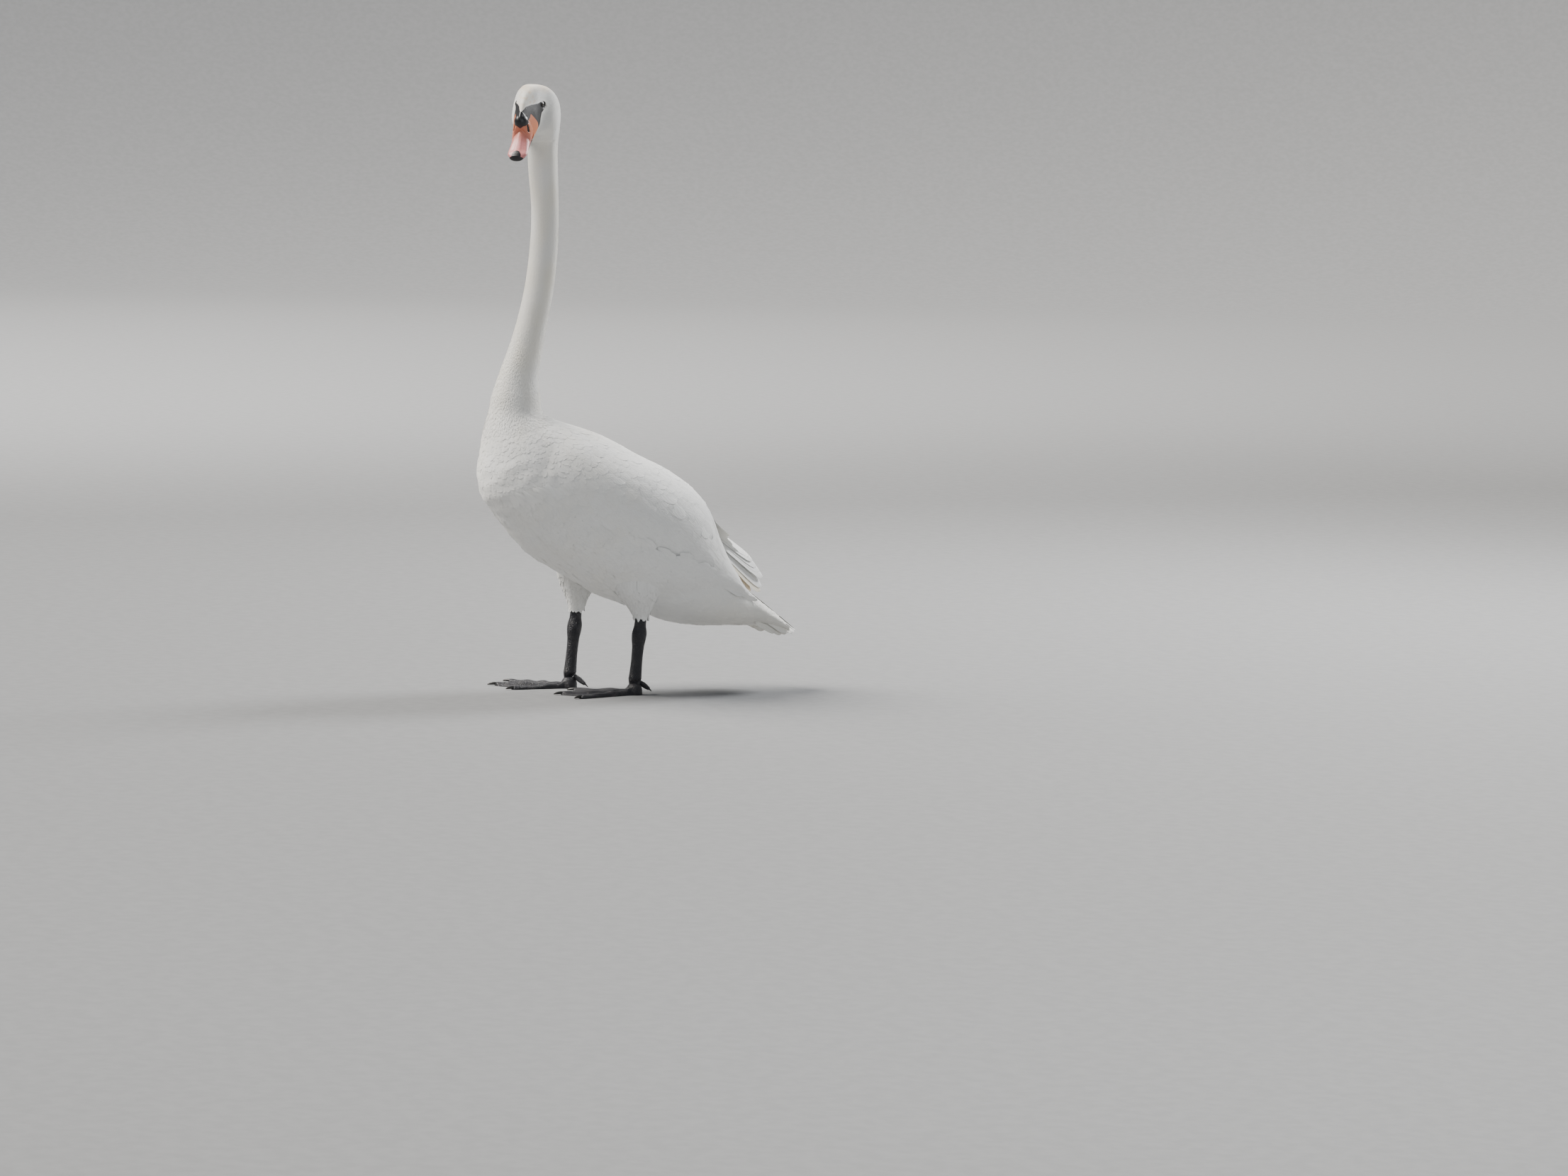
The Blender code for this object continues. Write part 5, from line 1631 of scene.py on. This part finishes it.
tail_feathers = make_coat("tail_feathers", quills, [
    tail_fan(51, 11, 1.20, 13.7, (16.5, 16.0), 0.0104, (-0.0040, -0.0024), 0.0),
    tail_fan(53, 9, 1.15, 14.0, (16.4, 15.8), 0.0100, (-0.0040, -0.0016), math.pi),
    roof_of_quills(9, 0.006, 58), roof_of_quills(11, 0.0, 57),
    under_tail_tuft(1, 59), under_tail_tuft(-1, 59),
])
tail_pitch = (body_way([13, 15, 17]), np.array([0.0078, 0.0072, 0.0066]))
tail_coverts = make_coat("tail_coverts", contour, [
    cover(body_sheet, body_way([14.4, 15.1]), tail_pitch, 1.0, (-1.5, 1.5), 55,
          laps=3.6, width=0.84, wild=0.10, lump=0.05, sway=0.10, ruffle=0.5, dome=0.14, fray=0.05),
    cover(body_sheet, body_way([14.6, 15.5]), tail_pitch, 1.0, (1.5, 4.78), 56,
          laps=4.2, width=0.80, wild=0.22, lump=0.04, sway=0.25, ruffle=0.9, dome=0.14, fray=0.08),
])


# ---------------------------------------------------------------- thigh feathers
# Soft feathers wrap each thigh and end in a ragged white cuff over the black shank.

THIGH_PATCHES = {1: (0.9, 0.83), -1: (0.9, 0.91)}  # scale and place of their unwraps


def thigh_sheet(side):
    """The thigh's outer surface as a sheet, down from the flank; angle 0 is at its back."""
    table = np.array(LEGS[side][0])
    fine = read_between(table, np.linspace(0, 4, 400))
    drop = np.concatenate([[0], np.cumsum(np.linalg.norm(np.diff(fine[:, :3], axis=0), axis=1))])
    places = np.interp(np.arange(0, drop[-1] + 0.012, SHEET_STEP), drop, np.linspace(0, 4, 400))
    rows = read_between(table, places)[:, None]
    angles = all_round(SHEET_COLUMNS)
    past = np.maximum(np.arange(len(places)) * SHEET_STEP - drop[-1], 0)[:, None]
    x = side * rows[..., 0] + rows[..., 4] * np.sin(angles)
    y = rows[..., 1] + rows[..., 3] * np.cos(angles)
    points = MIDDLE + np.stack([x, y, rows[..., 2] - past + 0 * x], -1)
    return np.concatenate([points, surface_normals(points)], axis=2).astype(np.float32), drop[-1]


def thigh_coat(side, seed):
    sheet, length = thigh_sheet(side)
    pitch = (np.array([0, length]), np.array([0.0068, 0.0042]))
    return cover(
        sheet, (length * 0.16, length * 0.90), pitch, 1.0, WHOLE_TURN, seed, laps=4.4, width=0.92,
        wild=0.16, lump=0.03, sway=0.20, ruffle=0.45, dome=0.08, fray=0.05,
        unwrap=THIGH_PATCHES[side],
        depth=lambda way: np.interp(way, [0, length * 0.6, length], [0.0062, 0.0056, 0.0040]),
        shorten=lambda way: np.interp(way, [0, length * 0.8, length], [1, 1, 0.75]),
    )


for side, seed in ((1, 61), (-1, 63)):
    coat = make_coat("thigh_coat_" + SIDE_NAMES[side], contour, [thigh_coat(side, seed)])


# ---------------------------------------------------------------- floor, light and camera
# A plain grey matt floor that curves up all round into a wall, under soft studio light: a broad
# warm key from the upper left and behind, a cool fill from the camera's side, a lamp behind the
# tail, one on the far wall, and a pale sky.

CAMERA_TURN = math.radians(70)  # round the swan from straight ahead
CAMERA_DISTANCE = 10.0
CAMERA_HEIGHT = 1.18
CAMERA_TILT = math.atan(0.1)
CAMERA_ROLL = math.radians(1.35)
KEY_SPREAD = math.radians(38)


def make_floor():
    """Rings of (radius, height): flat, then a quarter circle 5 m across, then a wall."""
    paint = Paint("pale_floor", Roughness=0.85)
    grain = paint.step(paint.noise(40.0, 5), 0.3, 0.7)
    colour = paint.mix(grain, (0.205, 0.208, 0.212), (0.225, 0.228, 0.232))
    paint.set("Base Color", colour)
    turn = np.linspace(0, math.pi / 2, 20)
    radius = np.concatenate([[0.01, 1, 4, 9], 14 + 5 * np.sin(turn), [19]])
    height = np.concatenate([[0, 0, 0, 0], 5 * (1 - np.cos(turn)), [8]])
    around = all_round(96)
    grid = np.stack([radius[:, None] * np.cos(around), radius[:, None] * np.sin(around),
                     height[:, None] + 0 * around], -1)
    corner = np.arange((len(radius) - 1) * 96).reshape(-1, 96)
    beside = np.roll(corner, -1, axis=1)
    quads = np.stack([corner, corner + 96, beside + 96, beside], -1).reshape(-1, 4).tolist()
    return new_piece("floor", grid, [list(range(96))] + quads, paint.material)


def add_light(name, place, target, kind, size, power, colour):
    """A lamp turned to its target: a disk this many metres across, or a sun this many radians."""
    data = bpy.data.lights.new(name, kind)
    data.energy, data.color = power, colour
    if kind == "SUN":
        data.angle = size
    else:
        data.shape, data.size = "DISK", size
    light = bpy.data.objects.new(name, data)
    bpy.context.scene.collection.objects.link(light)
    light.location = place
    way = Vector(target) - Vector(place)
    light.rotation_euler = way.to_track_quat("-Z", "Y").to_euler()


make_floor()
right_of_camera = np.array([math.cos(CAMERA_TURN), math.sin(CAMERA_TURN), 0])
to_camera = np.array([math.sin(CAMERA_TURN), -math.cos(CAMERA_TURN), 0])
chest = MIDDLE + (0, 0, 0.45)
far_wall = MIDDLE - to_camera * 17 - right_of_camera * 7 + UP
# name: (from the chest towards the camera, to its right, up, target, kind, size, power, colour)
LIGHTS = {
    "key": (-0.5, -2.6, 3.4, chest, "SUN", KEY_SPREAD, 7.5, (1.0, 0.96, 0.90)),
    "fill": (4.0, 1.0, 1.6, chest, "AREA", 3.0, 30, (0.86, 0.93, 1.0)),
    "back": (-2.2, 2.5, 2.4, chest, "AREA", 1.5, 230, (1.0, 1.0, 1.0)),
    "backdrop": (-7.0, -2.0, 6.55, far_wall, "AREA", 10.0, 1700, (1.0, 0.98, 0.96)),
}
for name, (near, right, up, *rest) in LIGHTS.items():
    add_light(name, chest + to_camera * near + right_of_camera * right + UP * up, *rest)
world = bpy.data.worlds.new("surround")
world.use_nodes = True
sky = world.node_tree.nodes["Background"]
sky.inputs["Color"].default_value = (0.80, 0.86, 0.95, 1)
sky.inputs["Strength"].default_value = 0.22
bpy.context.scene.world = world

lens = bpy.data.cameras.new("camera")
lens.sensor_width, lens.lens, lens.clip_end = 36.0, 130.2, 100
lens.shift_x, lens.shift_y = 0.1120, 0.0014
camera = bpy.data.objects.new("camera", lens)
bpy.context.scene.collection.objects.link(camera)
place = MIDDLE + to_camera * CAMERA_DISTANCE + UP * CAMERA_HEIGHT
view = -to_camera * math.cos(CAMERA_TILT) - UP * math.sin(CAMERA_TILT)
level = unit(np.cross(view, UP))
rolled_x, rolled_y = turned(level, np.cross(level, view), -CAMERA_ROLL)
pose = np.eye(4)
pose[:3] = np.column_stack([rolled_x, rolled_y, -view, place])
camera.matrix_world = Matrix(pose.tolist())
bpy.context.scene.camera = camera
